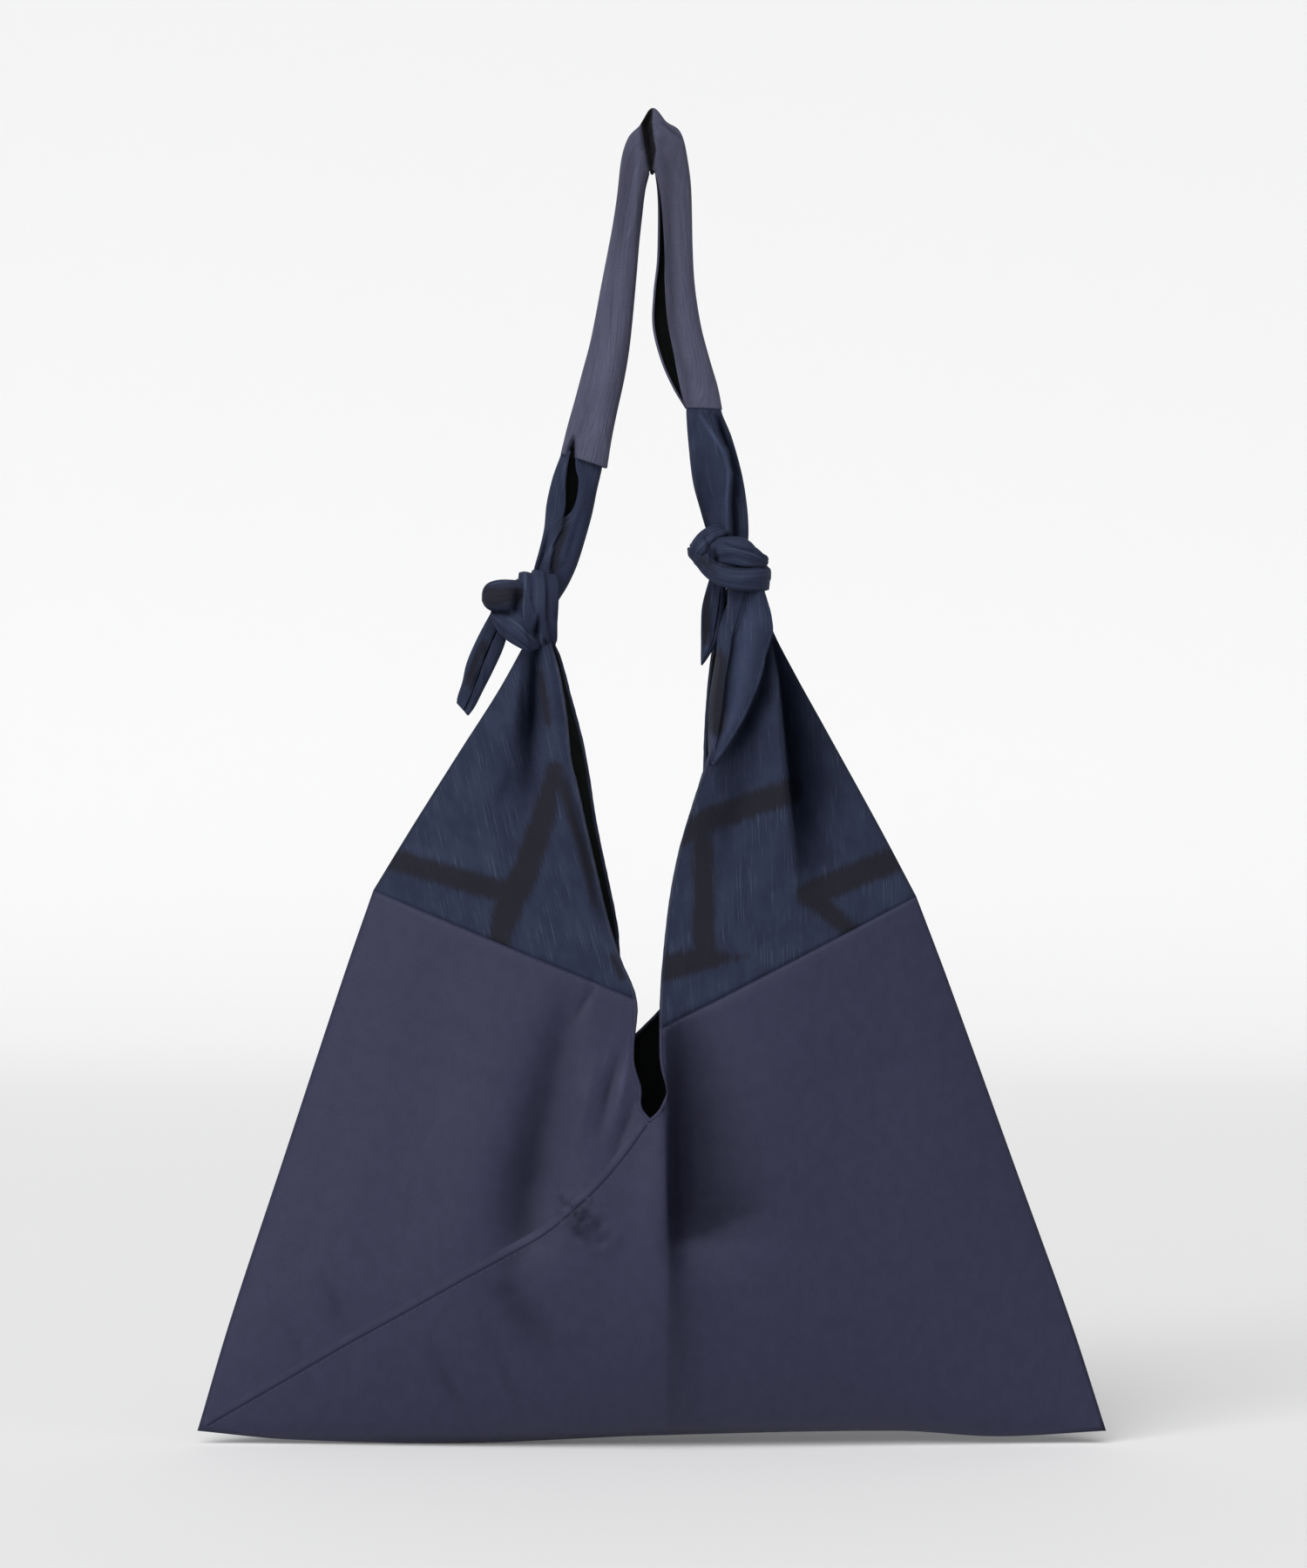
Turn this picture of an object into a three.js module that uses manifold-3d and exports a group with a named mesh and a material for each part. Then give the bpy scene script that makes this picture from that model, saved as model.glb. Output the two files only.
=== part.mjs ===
// Azuma bag: a pouch folded from one length of plain cloth, with two kasuri peaks
// knotted to a folded shoulder strap. Millimetres, +Z up, +X to the right, and the
// front faces -Y. The origin is the underside of the strap where the bag hangs.
import * as THREE from 'three';
import { mergeVertices } from 'three/addons/utils/BufferGeometryUtils.js';
import Module from 'manifold-3d';

const wasm = await Module();
wasm.setup();

// Driving dimensions
const hangHeight = 728.5; // hanging point down to the lowest stretch of the base
const strapRise = 38; // top fold of the strap above the hanging point
const strapSeamDrop = 148; // hanging point down to the middle of the strap seams
const strapSpan = 52; // left seam's outer end, sideways from the hanging point
const strapDepth = 15; // thickness of the folded strap, front to back
const baseWidth = 521.5; // corner to corner along the base
const baseLift = 7; // how far the base line rises at its corners
const bodyDepth = 88; // pouch, front to back at its fullest
const notchDrop = 540.5; // bottom of the front mouth
const backNotchDrop = 503; // bottom of the back mouth
const notchX = -1; // front mouth's bottom, sideways
const backNotchX = -16; // back mouth's bottom, sideways
const clothWall = 2; // cloth with its lining and seam turnings
const tailWall = 1.4; // cloth of the tails, which have no lining
const strapOpening = 80; // open side of the folded strap, in degrees of its section
const tieOpening = 50; // of the ties
const tailOpening = 60; // and of the tails
const pieceGap = 0.3; // clearance between neighbouring pieces
const foldDepth = 9; // deepest dent in the front cloth
const flapLift = 6; // the turned flap in front of the peak behind it

// Sizes of each side. across runs outward from the hanging point's centre line.
const left = {
  sign: -1,
  knotX: 74, // centre of the knot
  knotDrop: 250,
  knotWidth: 42,
  knotHeight: 47,
  knotDepth: 36,
  neckX: 65, // gathered neck of the peak, just inside the knot
  neckDrop: 264,
  neckWidth: 10,
  neckDepth: 17,
  shoulderX: 159.8, // side end of the kasuri seam
  shoulderDrop: 411,
  frontSeamDrop: 472, // opening end of the kasuri seam, front sheet
  backSeamDrop: 474, // and back sheet
  seamDepth: 60, // front to back at the opening end of the seam
  tieWidth: 26,
  tailLength: 58,
  tailWidth: 14,
};
const right = {
  sign: 1,
  knotX: 44.5,
  knotDrop: 224,
  knotWidth: 42,
  knotHeight: 34,
  knotDepth: 36,
  neckX: 53,
  neckDrop: 236,
  neckWidth: 17,
  neckDepth: 18,
  shoulderX: 151.8,
  shoulderDrop: 414.5,
  frontSeamDrop: 489,
  backSeamDrop: 478,
  seamDepth: 60,
  tieWidth: 24,
  tailLength: 57,
  tailWidth: 12.5,
};

// Outer edge of each peak. Columns: share down from neck to shoulder, share out.
const peakEdge = {
  left: [[0, 0], [0.45, 0.44], [1, 1]],
  right: [[0, 0], [0.14, 0.085], [0.28, 0.225], [0.44, 0.4], [0.78, 0.77], [1, 1]],
};
// Outer edge of the pouch. Columns: share down from shoulder to base, share out.
const pouchEdge = [[0, 0], [0.15, 0.165], [0.5, 0.515], [1, 1]];

// Opening edges, from the neck to the bottom of the mouth.
// Columns: share of that height, share of the way from the neck to the mouth's bottom.
const openingEdge = {
  frontLeft: [
    [0, 0], [0.087, 0.1], [0.16, 0.19], [0.24, 0.225], [0.31, 0.3], [0.4, 0.43],
    [0.6, 0.655], [0.73, 0.83], [0.765, 0.86], [0.838, 0.83], [0.886, 0.83],
    [0.935, 0.9], [0.98, 0.9], [1, 1],
  ],
  frontRight: [
    [0, 0], [0.16, 0.04], [0.24, 0.12], [0.3, 0.21], [0.335, 0.28], [0.41, 0.44],
    [0.495, 0.61], [0.59, 0.735], [0.72, 0.83], [0.785, 0.855], [0.86, 0.86],
    [0.897, 0.848], [0.947, 0.78], [0.985, 0.9], [1, 1],
  ],
  backLeft: [[0, 0], [0.15, 0.25], [0.28, 0.44], [0.46, 0.61], [0.7, 0.88], [0.77, 0.91], [1, 1]],
  backRight: [
    [0, 0], [0.13, 0.14], [0.28, 0.22], [0.47, 0.24], [0.62, 0.3],
    [0.77, 0.39], [0.875, 0.51], [0.92, 0.65], [1, 1],
  ],
};

// Fullness of the pouch. Columns: share down from seam to base, share of the half depth.
const fullness = [
  [0, 0.68], [0.25, 0.86], [0.5, 1], [0.7, 0.97], [0.84, 0.78], [0.93, 0.52], [0.975, 0.3], [1, 0],
];
// Base line. Columns: share across from left corner to right corner, share of baseLift.
const baseLine = [[0, 1], [0.1, 0.3], [0.29, 0], [0.5, 0.62], [0.77, 1], [0.88, 0.55], [1, 1]];

// Dents and ridges of the front cloth, each along a line. Columns: across and down at
// its top, across and down at its foot, half width, all shares of the half base or of
// hangHeight, and depth as a share of foldDepth, where a ridge is negative.
const frontFolds = [
  [0.115, 0.66, 0.125, 0.84, 0.07, 1], // pocket right of the mouth
  [0.02, 0.7, 0.02, 0.98, 0.045, -0.5], // standing ridge below the mouth
  [-0.27, 0.62, -0.33, 0.82, 0.075, 0.9], // valley of the left panel
  [-0.16, 0.6, -0.17, 0.83, 0.05, -0.5], // facet between valley and mouth
  [-0.26, 0.86, -0.24, 0.93, 0.07, 0.5], // dent under the diagonal seam
  [-0.272, 0.35, -0.275, 0.5, 0.04, 1.1], // pleat of the left peak
  [-0.2, 0.39, -0.13, 0.56, 0.035, -0.4], // rolled edge of the left peak
  [0.31, 0.35, 0.37, 0.58, 0.045, 1], // pleat of the right peak
];

// Turned flap of the right peak. Columns: share down from neck to the flap's tip,
// share of flapWidth for its wrapped edge, and for its free edge.
const flapStart = 7; // neck down to the top of the flap, clear of the knot
const flapLength = 98; // neck down to its tip
const flapWidth = 42;
const hemWidth = 5; // where the flap joins the back sheet
const hemTurn = 0.8; // how far the hem stands out from each face of that sheet
const flap = [
  [0, -0.02, 0.45], [0.16, -0.095, 0.54], [0.3, -0.165, 0.555], [0.45, -0.22, 0.46],
  [0.6, -0.27, 0.34], [0.78, -0.31, 0.15], [1, -0.3, -0.2],
];

// Strap stations from the left seam over the top to the right seam. Columns: outer edge
// across and down, inner edge across and down, depth, turn of the open side in degrees.
// Across is a share of strapSpan; down is a share of strapSeamDrop, or of strapRise above 0.
const strapStations = [
  [-1, 1.085, -0.46, 1.13, 0.75, 0],
  [-0.85, 0.88, -0.37, 0.93, 0.8, -20],
  [-0.67, 0.63, -0.22, 0.7, 0.9, -20],
  [-0.545, 0.415, -0.145, 0.45, 1, -5],
  [-0.425, 0.2, -0.075, 0.22, 1, 0],
  [-0.365, 0.03, -0.035, 0.07, 1, 0],
  [-0.265, -0.5, -0.02, 0.015, 1, 0],
  [-0.12, -0.78, -0.01, 0, 0.9, 0],
  [0.01, -1, 0.005, 0, 0.8, 0],
  [0.17, -0.77, 0.015, 0, 0.9, 0],
  [0.34, -0.58, 0.025, 0.015, 1, 0],
  [0.415, -0.1, 0.04, 0.07, 1, 5],
  [0.45, 0.2, 0.06, 0.22, 1, 15],
  [0.47, 0.4, 0.04, 0.43, 1, 25],
  [0.55, 0.6, 0.01, 0.6, 1, 35],
  [0.66, 0.74, 0.12, 0.73, 0.9, 30],
  [0.775, 0.9, 0.36, 0.91, 0.8, 0],
];
// Ties from under the strap seam into the knot. Columns: share down, middle across as a
// share of strapSpan, width and depth as shares, tilt and turn of the open side in degrees.
const tieStations = {
  left: [
    [0.22, -0.865, 1.02, 0.9, -13, 85], [0.42, -0.925, 1, 0.95, -18, 85],
    [0.65, -0.985, 0.94, 0.9, -24, 80], [0.85, -1.1, 0.84, 0.85, -26, 60],
    [1, -1.25, 0.5, 0.8, -20, 40],
  ],
  right: [
    [0.2, 0.625, 1.06, 0.95, 10, 20], [0.42, 0.695, 1.14, 1, 14, 25],
    [0.68, 0.76, 1.1, 1, 14, 10], [0.87, 0.81, 1.04, 0.9, 6, 0], [1, 0.86, 0.6, 0.8, 0, 0],
  ],
};
// Tails from the knot to their free ends. Columns: share of tailLength, leftward from the
// knot's middle as a share of knotWidth, width and depth as shares of tailWidth, tilt.
const tailStations = {
  left: [
    [0, 0.27, 0.8, 0.45, 38], [0.2, 0.41, 1, 0.5, 34], [0.45, 0.54, 1.05, 0.5, 28],
    [0.75, 0.66, 1, 0.42, 22], [1, 0.77, 0.86, 0.35, -20],
  ],
  right: [
    [0, 0.1, 0.7, 0.45, 8], [0.2, 0.17, 0.95, 0.5, 12], [0.45, 0.235, 1.05, 0.5, 8],
    [0.75, 0.3, 0.82, 0.42, 4], [1, 0.38, 0.2, 0.3, 2],
  ],
};
// Lobes of each knot. Columns: outward and down from its middle, width, height and depth,
// all shares of the knot's own sizes, and tilt in degrees.
const knotLobes = {
  left: [
    [-0.19, 0, 0.56, 0.98, 0.95, 8], [0.29, -0.15, 0.46, 0.43, 0.62, 0],
    [0.05, 0.26, 0.48, 0.5, 0.8, -10], [0.08, -0.05, 0.5, 0.6, 0.85, 0],
  ],
  right: [
    [0.1, 0.18, 0.82, 0.52, 0.95, -14], [-0.3, -0.24, 0.42, 0.4, 0.6, 30],
    [0.2, -0.16, 0.54, 0.46, 0.7, -18], [0, -0.02, 0.6, 0.75, 0.85, 0],
  ],
};

// Mesh steps
const peakColumns = 9;
const peakRows = 12;
const pouchColumns = 13;
const mouthRows = 5;
const lowerRows = 9;
const flapColumns = 6;
const flapRows = 8;
const ringSteps = 10;
const ringSquareness = 0.75; // 1 is an ellipse, and less is a flatter fold
const strapSteps = 30;
const tieSteps = 12;
const tailSteps = 9;
const lobeSegments = 12;
const lobeRings = 8;
const bulgeRoundness = 0.8; // how soon a sheet stands out from its folded edge
const joinTolerance = 0.05; // slivers of a cut that are smaller than this are closed up

const lerp = THREE.MathUtils.lerp;
const radians = THREE.MathUtils.degToRad;

// Value of a table's column at a place along its first column
function along(table, place, column = 1) {
  let row = 1;
  while (row < table.length - 1 && table[row][0] < place) row += 1;
  const [from, to] = [table[row - 1], table[row]];
  return lerp(from[column], to[column], (place - from[0]) / (to[0] - from[0]));
}

// Table made finer by a smooth curve through its rows
function smoothRows(rows, count) {
  const slope = (row, column) => {
    const before = rows[Math.max(row - 1, 0)];
    const after = rows[Math.min(row + 1, rows.length - 1)];
    return (after[column] - before[column]) / 2;
  };
  return Array.from({ length: count + 1 }, (_, step) => {
    const place = (step / count) * (rows.length - 1);
    const row = Math.min(Math.floor(place), rows.length - 2);
    const t = place - row;
    return rows[row].map((start, column) => {
      const end = rows[row + 1][column];
      const lead = slope(row, column);
      const trail = slope(row + 1, column);
      const bend = (2 * t ** 3 - 3 * t ** 2 + 1) * start + (t ** 3 - 2 * t ** 2 + t) * lead;
      return bend + (3 * t ** 2 - 2 * t ** 3) * end + (t ** 3 - t ** 2) * trail;
    });
  });
}

// Closed body of cloth from patches of outer and inner points. Patches that share an
// edge are joined there, and every free edge gets a rim from outer to inner.
function clothBody(patches) {
  const places = new Map();
  const points = [];
  const indexOf = (point) => {
    const key = point.map((value) => Math.round(value * 1000)).join(' ');
    if (!places.has(key)) {
      places.set(key, points.length);
      points.push(point);
    }
    return places.get(key);
  };
  const triangles = [];
  const edges = new Map();
  const innerOf = new Map();
  const addQuad = (a, b, c, d) => {
    for (const corners of [[a, b, c], [a, c, d]]) {
      if (new Set(corners).size === 3) triangles.push(corners);
    }
  };
  for (const { outer, inner } of patches) {
    const outside = outer.map((row) => row.map(indexOf));
    const inside = inner.map((row) => row.map(indexOf));
    for (let j = 0; j + 1 < outer.length; j += 1) {
      for (let k = 0; k + 1 < outer[j].length; k += 1) {
        const quad = [[j, k], [j, k + 1], [j + 1, k + 1], [j + 1, k]];
        const o = quad.map(([row, column]) => outside[row][column]);
        const i = quad.map(([row, column]) => inside[row][column]);
        addQuad(...o);
        addQuad(i[3], i[2], i[1], i[0]);
        o.forEach((corner, n) => {
          innerOf.set(corner, i[n]);
          const next = o[(n + 1) % 4];
          if (corner !== next) {
            const key = [Math.min(corner, next), Math.max(corner, next)].join(' ');
            edges.set(key, edges.has(key) ? null : [corner, next]);
          }
        });
      }
    }
  }
  for (const edge of edges.values()) {
    if (edge) addQuad(edge[1], edge[0], innerOf.get(edge[0]), innerOf.get(edge[1]));
  }
  return { points, triangles };
}

function geometryOf({ points, triangles }) {
  const geometry = new THREE.BufferGeometry();
  geometry.setAttribute('position', new THREE.Float32BufferAttribute(points.flat(), 3));
  geometry.setIndex(triangles.flat());
  return geometry;
}

function solidOf(geometry) {
  const bare = geometry.clone();
  bare.deleteAttribute('normal');
  bare.deleteAttribute('uv');
  const merged = mergeVertices(bare, 1e-4);
  const vertProperties = new Float32Array(merged.attributes.position.array);
  const triVerts = new Uint32Array(merged.index.array);
  return new wasm.Manifold(new wasm.Mesh({ numProp: 3, vertProperties, triVerts }));
}

function geometryOfSolid(solid) {
  const { vertProperties, triVerts, numProp } = solid.simplify(joinTolerance).getMesh();
  const geometry = new THREE.BufferGeometry();
  const places = new THREE.InterleavedBuffer(vertProperties, numProp);
  geometry.setAttribute('position', new THREE.InterleavedBufferAttribute(places, 3, 0));
  geometry.setIndex(new THREE.BufferAttribute(triVerts, 1));
  return geometry;
}

const halfBase = baseWidth / 2;

// Depth of the front folds at a place, positive where the cloth is pushed in
function foldsAt(x, z) {
  return frontFolds.reduce((sum, [topX, topDown, footX, footDown, halfWidth, depth]) => {
    const top = new THREE.Vector2(topX * halfBase, -topDown * hangHeight);
    const foot = new THREE.Vector2(footX * halfBase, -footDown * hangHeight);
    const run = foot.clone().sub(top);
    const from = new THREE.Vector2(x, z).sub(top);
    const share = THREE.MathUtils.clamp(from.dot(run) / run.lengthSq(), 0, 1);
    const away = from.sub(run.multiplyScalar(share)).length() / (halfWidth * halfBase);
    return sum + depth * foldDepth * Math.exp(-(away ** 2));
  }, 0);
}

function peakOuterEdge(side, share) {
  const table = side.sign < 0 ? peakEdge.left : peakEdge.right;
  const from = side.neckX + side.neckWidth / 2;
  const x = side.sign * lerp(from, side.shoulderX, along(table, share));
  return { x, z: -lerp(side.neckDrop, side.shoulderDrop, share) };
}

// Opening edge of a sheet at a height: front or back, left or right
function openingX(side, front, z) {
  const sheet = (front ? 'front' : 'back') + (side.sign < 0 ? 'Left' : 'Right');
  const bottom = front ? notchDrop : backNotchDrop;
  const share = (-z - side.neckDrop) / (bottom - side.neckDrop);
  const from = side.sign * (side.neckX - side.neckWidth / 2);
  return lerp(from, front ? notchX : backNotchX, along(openingEdge[sheet], share));
}

// Share of a row's width by which the inner face stays inside the folded outer edge
const edgeInset = (width) => (clothWall * 1.5) / Math.abs(width);

const bulge = (share) => Math.sin((Math.PI / 2) * share) ** bulgeRoundness;

// Point of a sheet from its half depth there. The inner face lies one wall inside.
function sheetPoint(x, z, halfDepth, front, inside) {
  const least = 0.4;
  const depth = inside && halfDepth > 0 ? Math.max(halfDepth - clothWall, least) : halfDepth;
  return [x, front ? -depth : depth, z];
}

// Peak row: share down from the neck to the kasuri seam, share from outer to opening edge
function peakPoint(side, front, down, across, inside) {
  const seamDrop = front ? side.frontSeamDrop : side.backSeamDrop;
  const outer = peakOuterEdge(side, down);
  const openZ = -lerp(side.neckDrop, seamDrop, down);
  const openX = openingX(side, front, openZ);
  const edge = across === 0;
  const place = inside && edge ? edgeInset(outer.x - openX) : across;
  const x = lerp(outer.x, openX, place);
  const z = lerp(outer.z, openZ, place) + (down === 1 ? pieceGap / 2 : 0);
  const full = (lerp(side.neckDepth, side.seamDepth, down) / 2) * bulge(across);
  const sunk = front ? foldsAt(x, z) * Math.min(across * 3, 1) : 0;
  const least = Math.min(full, clothWall * 2);
  return sheetPoint(x, z, edge ? 0 : Math.max(full - sunk, least), front, inside);
}

function peakSheets(side) {
  const grid = (inside) =>
    Array.from({ length: peakRows + 1 }, (_, j) => {
      const shares = Array.from({ length: 2 * peakColumns + 1 }, (_, n) => n - peakColumns);
      return shares.map((n) => {
        const across = Math.abs(n) / peakColumns;
        return peakPoint(side, n * side.sign > 0, j / peakRows, across, inside);
      });
    });
  return clothBody([{ outer: grid(false), inner: grid(true) }]);
}

function baseZ(x) {
  const share = THREE.MathUtils.clamp((x + halfBase) / baseWidth, 0, 1);
  return -hangHeight + baseLift * along(baseLine, share);
}

// Pouch row: steps down from the kasuri seam, share from the outer edge to the middle
function pouchPoint(side, front, row, across, inside) {
  const rows = mouthRows + lowerRows;
  const down = row / rows;
  const bottomDrop = front ? notchDrop : backNotchDrop;
  const seamDrop = front ? side.frontSeamDrop : side.backSeamDrop;
  const middleX = front ? notchX : backNotchX;
  const outerX = side.sign * lerp(side.shoulderX, halfBase, along(pouchEdge, down));
  const outerZ = lerp(-side.shoulderDrop, baseZ(side.sign * halfBase), down);
  const below = (row - mouthRows) / lowerRows;
  const openZ = below < 0 ? -lerp(seamDrop, bottomDrop, row / mouthRows) : 0;
  const middle = below < 0 ? openingX(side, front, openZ) : lerp(middleX, 0, below);
  const middleZ = below < 0 ? openZ : lerp(-bottomDrop, baseZ(0), below);
  const edge = across === 0;
  const base = row === rows;
  const place = inside && edge ? edgeInset(outerX - middle) : across;
  const x = lerp(outerX, middle, place);
  const flatZ = lerp(outerZ, middleZ, place);
  const sag = baseZ(x) - lerp(baseZ(side.sign * halfBase), baseZ(0), place);
  const lift = (inside && base ? clothWall : 0) - (row === 0 ? pieceGap / 2 : 0);
  const z = flatZ + sag * down ** 6 + lift;
  const atSeam = side.seamDepth / 2 / along(fullness, 0);
  const half = lerp(atSeam, bodyDepth / 2, Math.min(down * 3, 1));
  const full = half * along(fullness, down) * bulge(across);
  const sunk = front ? foldsAt(x, z) * Math.min(across * 3, 1) * Math.min((1 - down) * 4, 1) : 0;
  const least = Math.min(full, clothWall * 2);
  return sheetPoint(x, z, edge || base ? 0 : Math.max(full - sunk, least), front, inside);
}

function pouch() {
  const patches = [left, right].map((side) => {
    const grid = (inside) =>
      Array.from({ length: mouthRows + lowerRows + 1 }, (_, row) => {
        const steps = Array.from({ length: 2 * pouchColumns + 1 }, (_, n) => n - pouchColumns);
        return steps.map((n) =>
          pouchPoint(side, n * side.sign > 0, row, Math.abs(n) / pouchColumns, inside));
      });
    return { outer: grid(false), inner: grid(true) };
  });
  return clothBody(patches);
}

// Flap of the right peak: from inside the back sheet's edge, round to the front
function flapSheet(side) {
  const tipDrop = side.neckDrop + flapLength;
  const point = (row, column, inside) => {
    const down = row / flapRows;
    const z = -lerp(side.neckDrop + flapStart, tipDrop, down);
    const [wrapX, freeX] = [1, 2].map(
      (edge) => side.neckX - side.neckWidth / 2 + along(flap, down, edge) * flapWidth);
    const share = column / flapColumns;
    const thick = inside ? clothWall : 0;
    const seamShare = (down * flapLength) / (side.backSeamDrop - side.neckDrop);
    const reach = lerp(side.neckDepth, side.seamDepth, seamShare) / 2;
    if (column === 0) return [wrapX + hemWidth, reach + (inside ? -thick - hemTurn : hemTurn), z];
    const turn = Math.PI * Math.min(share * 2.2, 1);
    const front = Math.cos(turn) * (reach + (turn >= Math.PI ? flapLift : 0));
    const onward = Math.max(share * 2.2 - 1, 0) / 1.2;
    const x = lerp(wrapX + thick * Math.sin(turn), Math.max(freeX, wrapX + 3), onward);
    return [x, front - Math.cos(turn) * thick, z];
  };
  const grid = (inside) =>
    Array.from({ length: flapRows + 1 }, (_, row) =>
      Array.from({ length: flapColumns + 1 }, (_, column) => point(row, column, inside)));
  return clothBody([{ outer: grid(false), inner: grid(true) }]);
}

// Band of folded cloth through stations: a ring in section with one open side
function foldedBand(stations, opening, wall) {
  const ring = ({ x, z, outX, outZ, half, depth, open }, inside) => {
    const thick = inside ? wall : 0;
    return Array.from({ length: ringSteps + 1 }, (_, step) => {
      const swept = (360 - opening) * (1 - step / ringSteps);
      const angle = radians(180 + open + opening / 2 + swept);
      const power = (value) => Math.sign(value) * Math.abs(value) ** ringSquareness;
      const out = (half - thick) * power(Math.cos(angle));
      return [x + outX * out, (depth - thick) * power(Math.sin(angle)), z + outZ * out];
    });
  };
  const outer = stations.map((station) => ring(station, false));
  const inner = stations.map((station) => ring(station, true));
  return clothBody([{ outer, inner }]);
}

function strapStation([outX, outDown, inX, inDown, depth, open]) {
  const downTo = (share) => -share * (share > 0 ? strapSeamDrop : strapRise);
  const outer = new THREE.Vector2(outX * strapSpan, downTo(outDown));
  const inner = new THREE.Vector2(inX * strapSpan, downTo(inDown));
  const middle = outer.clone().add(inner).multiplyScalar(0.5);
  const way = outer.clone().sub(inner).normalize();
  const half = outer.distanceTo(inner) / 2;
  const size = { half, depth: (depth * strapDepth) / 2, open };
  return { x: middle.x, z: middle.y, outX: way.x, outZ: way.y, ...size };
}

function strapBand() {
  const stations = smoothRows(strapStations, strapSteps).map(strapStation);
  return foldedBand(stations, strapOpening, clothWall);
}

// A tie or tail keeps its width level along its tilt
function tiltedStation(x, z, width, depth, tilt, open) {
  const angle = radians(tilt);
  const way = { outX: Math.cos(angle), outZ: Math.sin(angle) };
  return { x, z, ...way, half: width / 2, depth: depth / 2, open };
}

// The tie's top lies under the end of the strap, and its foot is inside the knot
function tieBand(side, rows) {
  const end = strapStation(strapStations.at(side.sign < 0 ? 0 : -1));
  const turned = side.sign < 0 ? -1 : 1;
  const top = end.z - pieceGap * 1.5;
  const tilt = THREE.MathUtils.radToDeg(Math.atan2(turned * end.outZ, turned * end.outX));
  const widest = (2 * end.half) / side.tieWidth;
  const start = [0, end.x / strapSpan, widest, (2 * end.depth) / strapDepth, tilt, rows[0][5]];
  const foot = -(side.knotDrop - side.knotHeight * 0.3);
  const stations = smoothRows([start, ...rows], tieSteps).map(([down, across, ...shape]) => {
    const [width, depth, turn, open] = shape;
    const sized = [width * side.tieWidth, depth * strapDepth];
    return tiltedStation(across * strapSpan, lerp(top, foot, down), ...sized, turn, open);
  });
  return foldedBand(stations, tieOpening, clothWall);
}

function tailBand(side, rows) {
  const stations = smoothRows(rows, tailSteps).map(([down, leftward, width, depth, tilt]) => {
    const x = side.sign * side.knotX - leftward * side.knotWidth;
    const z = -(side.knotDrop + down * side.tailLength);
    return tiltedStation(x, z, width * side.tailWidth, depth * side.tailWidth, tilt, 0);
  });
  return foldedBand(stations, tailOpening, tailWall);
}

function knotSolid(side, rows, grow) {
  return rows
    .map(([outward, down, width, height, depth, tilt]) => {
      const lobe = new THREE.SphereGeometry(0.5, lobeSegments, lobeRings);
      const sizes = [width * side.knotWidth, depth * side.knotDepth, height * side.knotHeight];
      lobe.rotateX(Math.PI / 2);
      lobe.scale(...sizes.map((size) => size + 2 * grow));
      lobe.rotateY(radians(tilt));
      const x = side.sign * (side.knotX + outward * side.knotWidth);
      lobe.translate(x, 0, -(side.knotDrop + down * side.knotHeight));
      return solidOf(lobe);
    })
    .reduce((whole, lobe) => whole.add(lobe));
}

// Finishes, one for each kind of cloth
const finishes = {
  plain_cloth: { color: 0x30304a, roughness: 0.55, metalness: 0 },
  kasuri_cloth: { color: 0x26304a, roughness: 0.8, metalness: 0 },
  strap_cloth: { color: 0x3c3c52, roughness: 0.75, metalness: 0 },
};

function piece(name, finish, geometry) {
  geometry.computeVertexNormals();
  const mesh = new THREE.Mesh(geometry, new THREE.MeshStandardMaterial(finishes[finish]));
  mesh.name = name;
  return mesh;
}

function buildSide(side, label) {
  const lobes = knotLobes[label];
  const room = knotSolid(side, lobes, pieceGap);
  const solids = {
    peak: solidOf(geometryOf(peakSheets(side))),
    tail: solidOf(geometryOf(tailBand(side, tailStations[label]))),
    tie: solidOf(geometryOf(tieBand(side, tieStations[label]))),
  };
  if (side === right) solids.peak = solids.peak.add(solidOf(geometryOf(flapSheet(side))));
  const knot = geometryOfSolid(knotSolid(side, lobes, 0));
  return [
    piece(`${label}_knot`, 'kasuri_cloth', knot),
    ...Object.entries(solids).map(([part, solid]) =>
      piece(`${label}_${part}`, 'kasuri_cloth', geometryOfSolid(solid.subtract(room)))),
  ];
}

const group = new THREE.Group();
group.add(
  piece('bag_body', 'plain_cloth', geometryOf(pouch())),
  piece('shoulder_strap', 'strap_cloth', geometryOf(strapBand())),
  ...buildSide(left, 'left'),
  ...buildSide(right, 'right'),
);
export default group;
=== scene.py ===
# %% [markdown]
# # Sewing an azuma bag in Blender
#
# An azuma bag is folded from one narrow length of kimono cloth. Two peaks stand up from
# the pouch, and here each peak is knotted to a strap. The lesson starts with the frame:
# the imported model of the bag, which gives every piece its place and size.

# %% The frame
import math

import bpy
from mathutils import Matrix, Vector, noise


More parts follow.
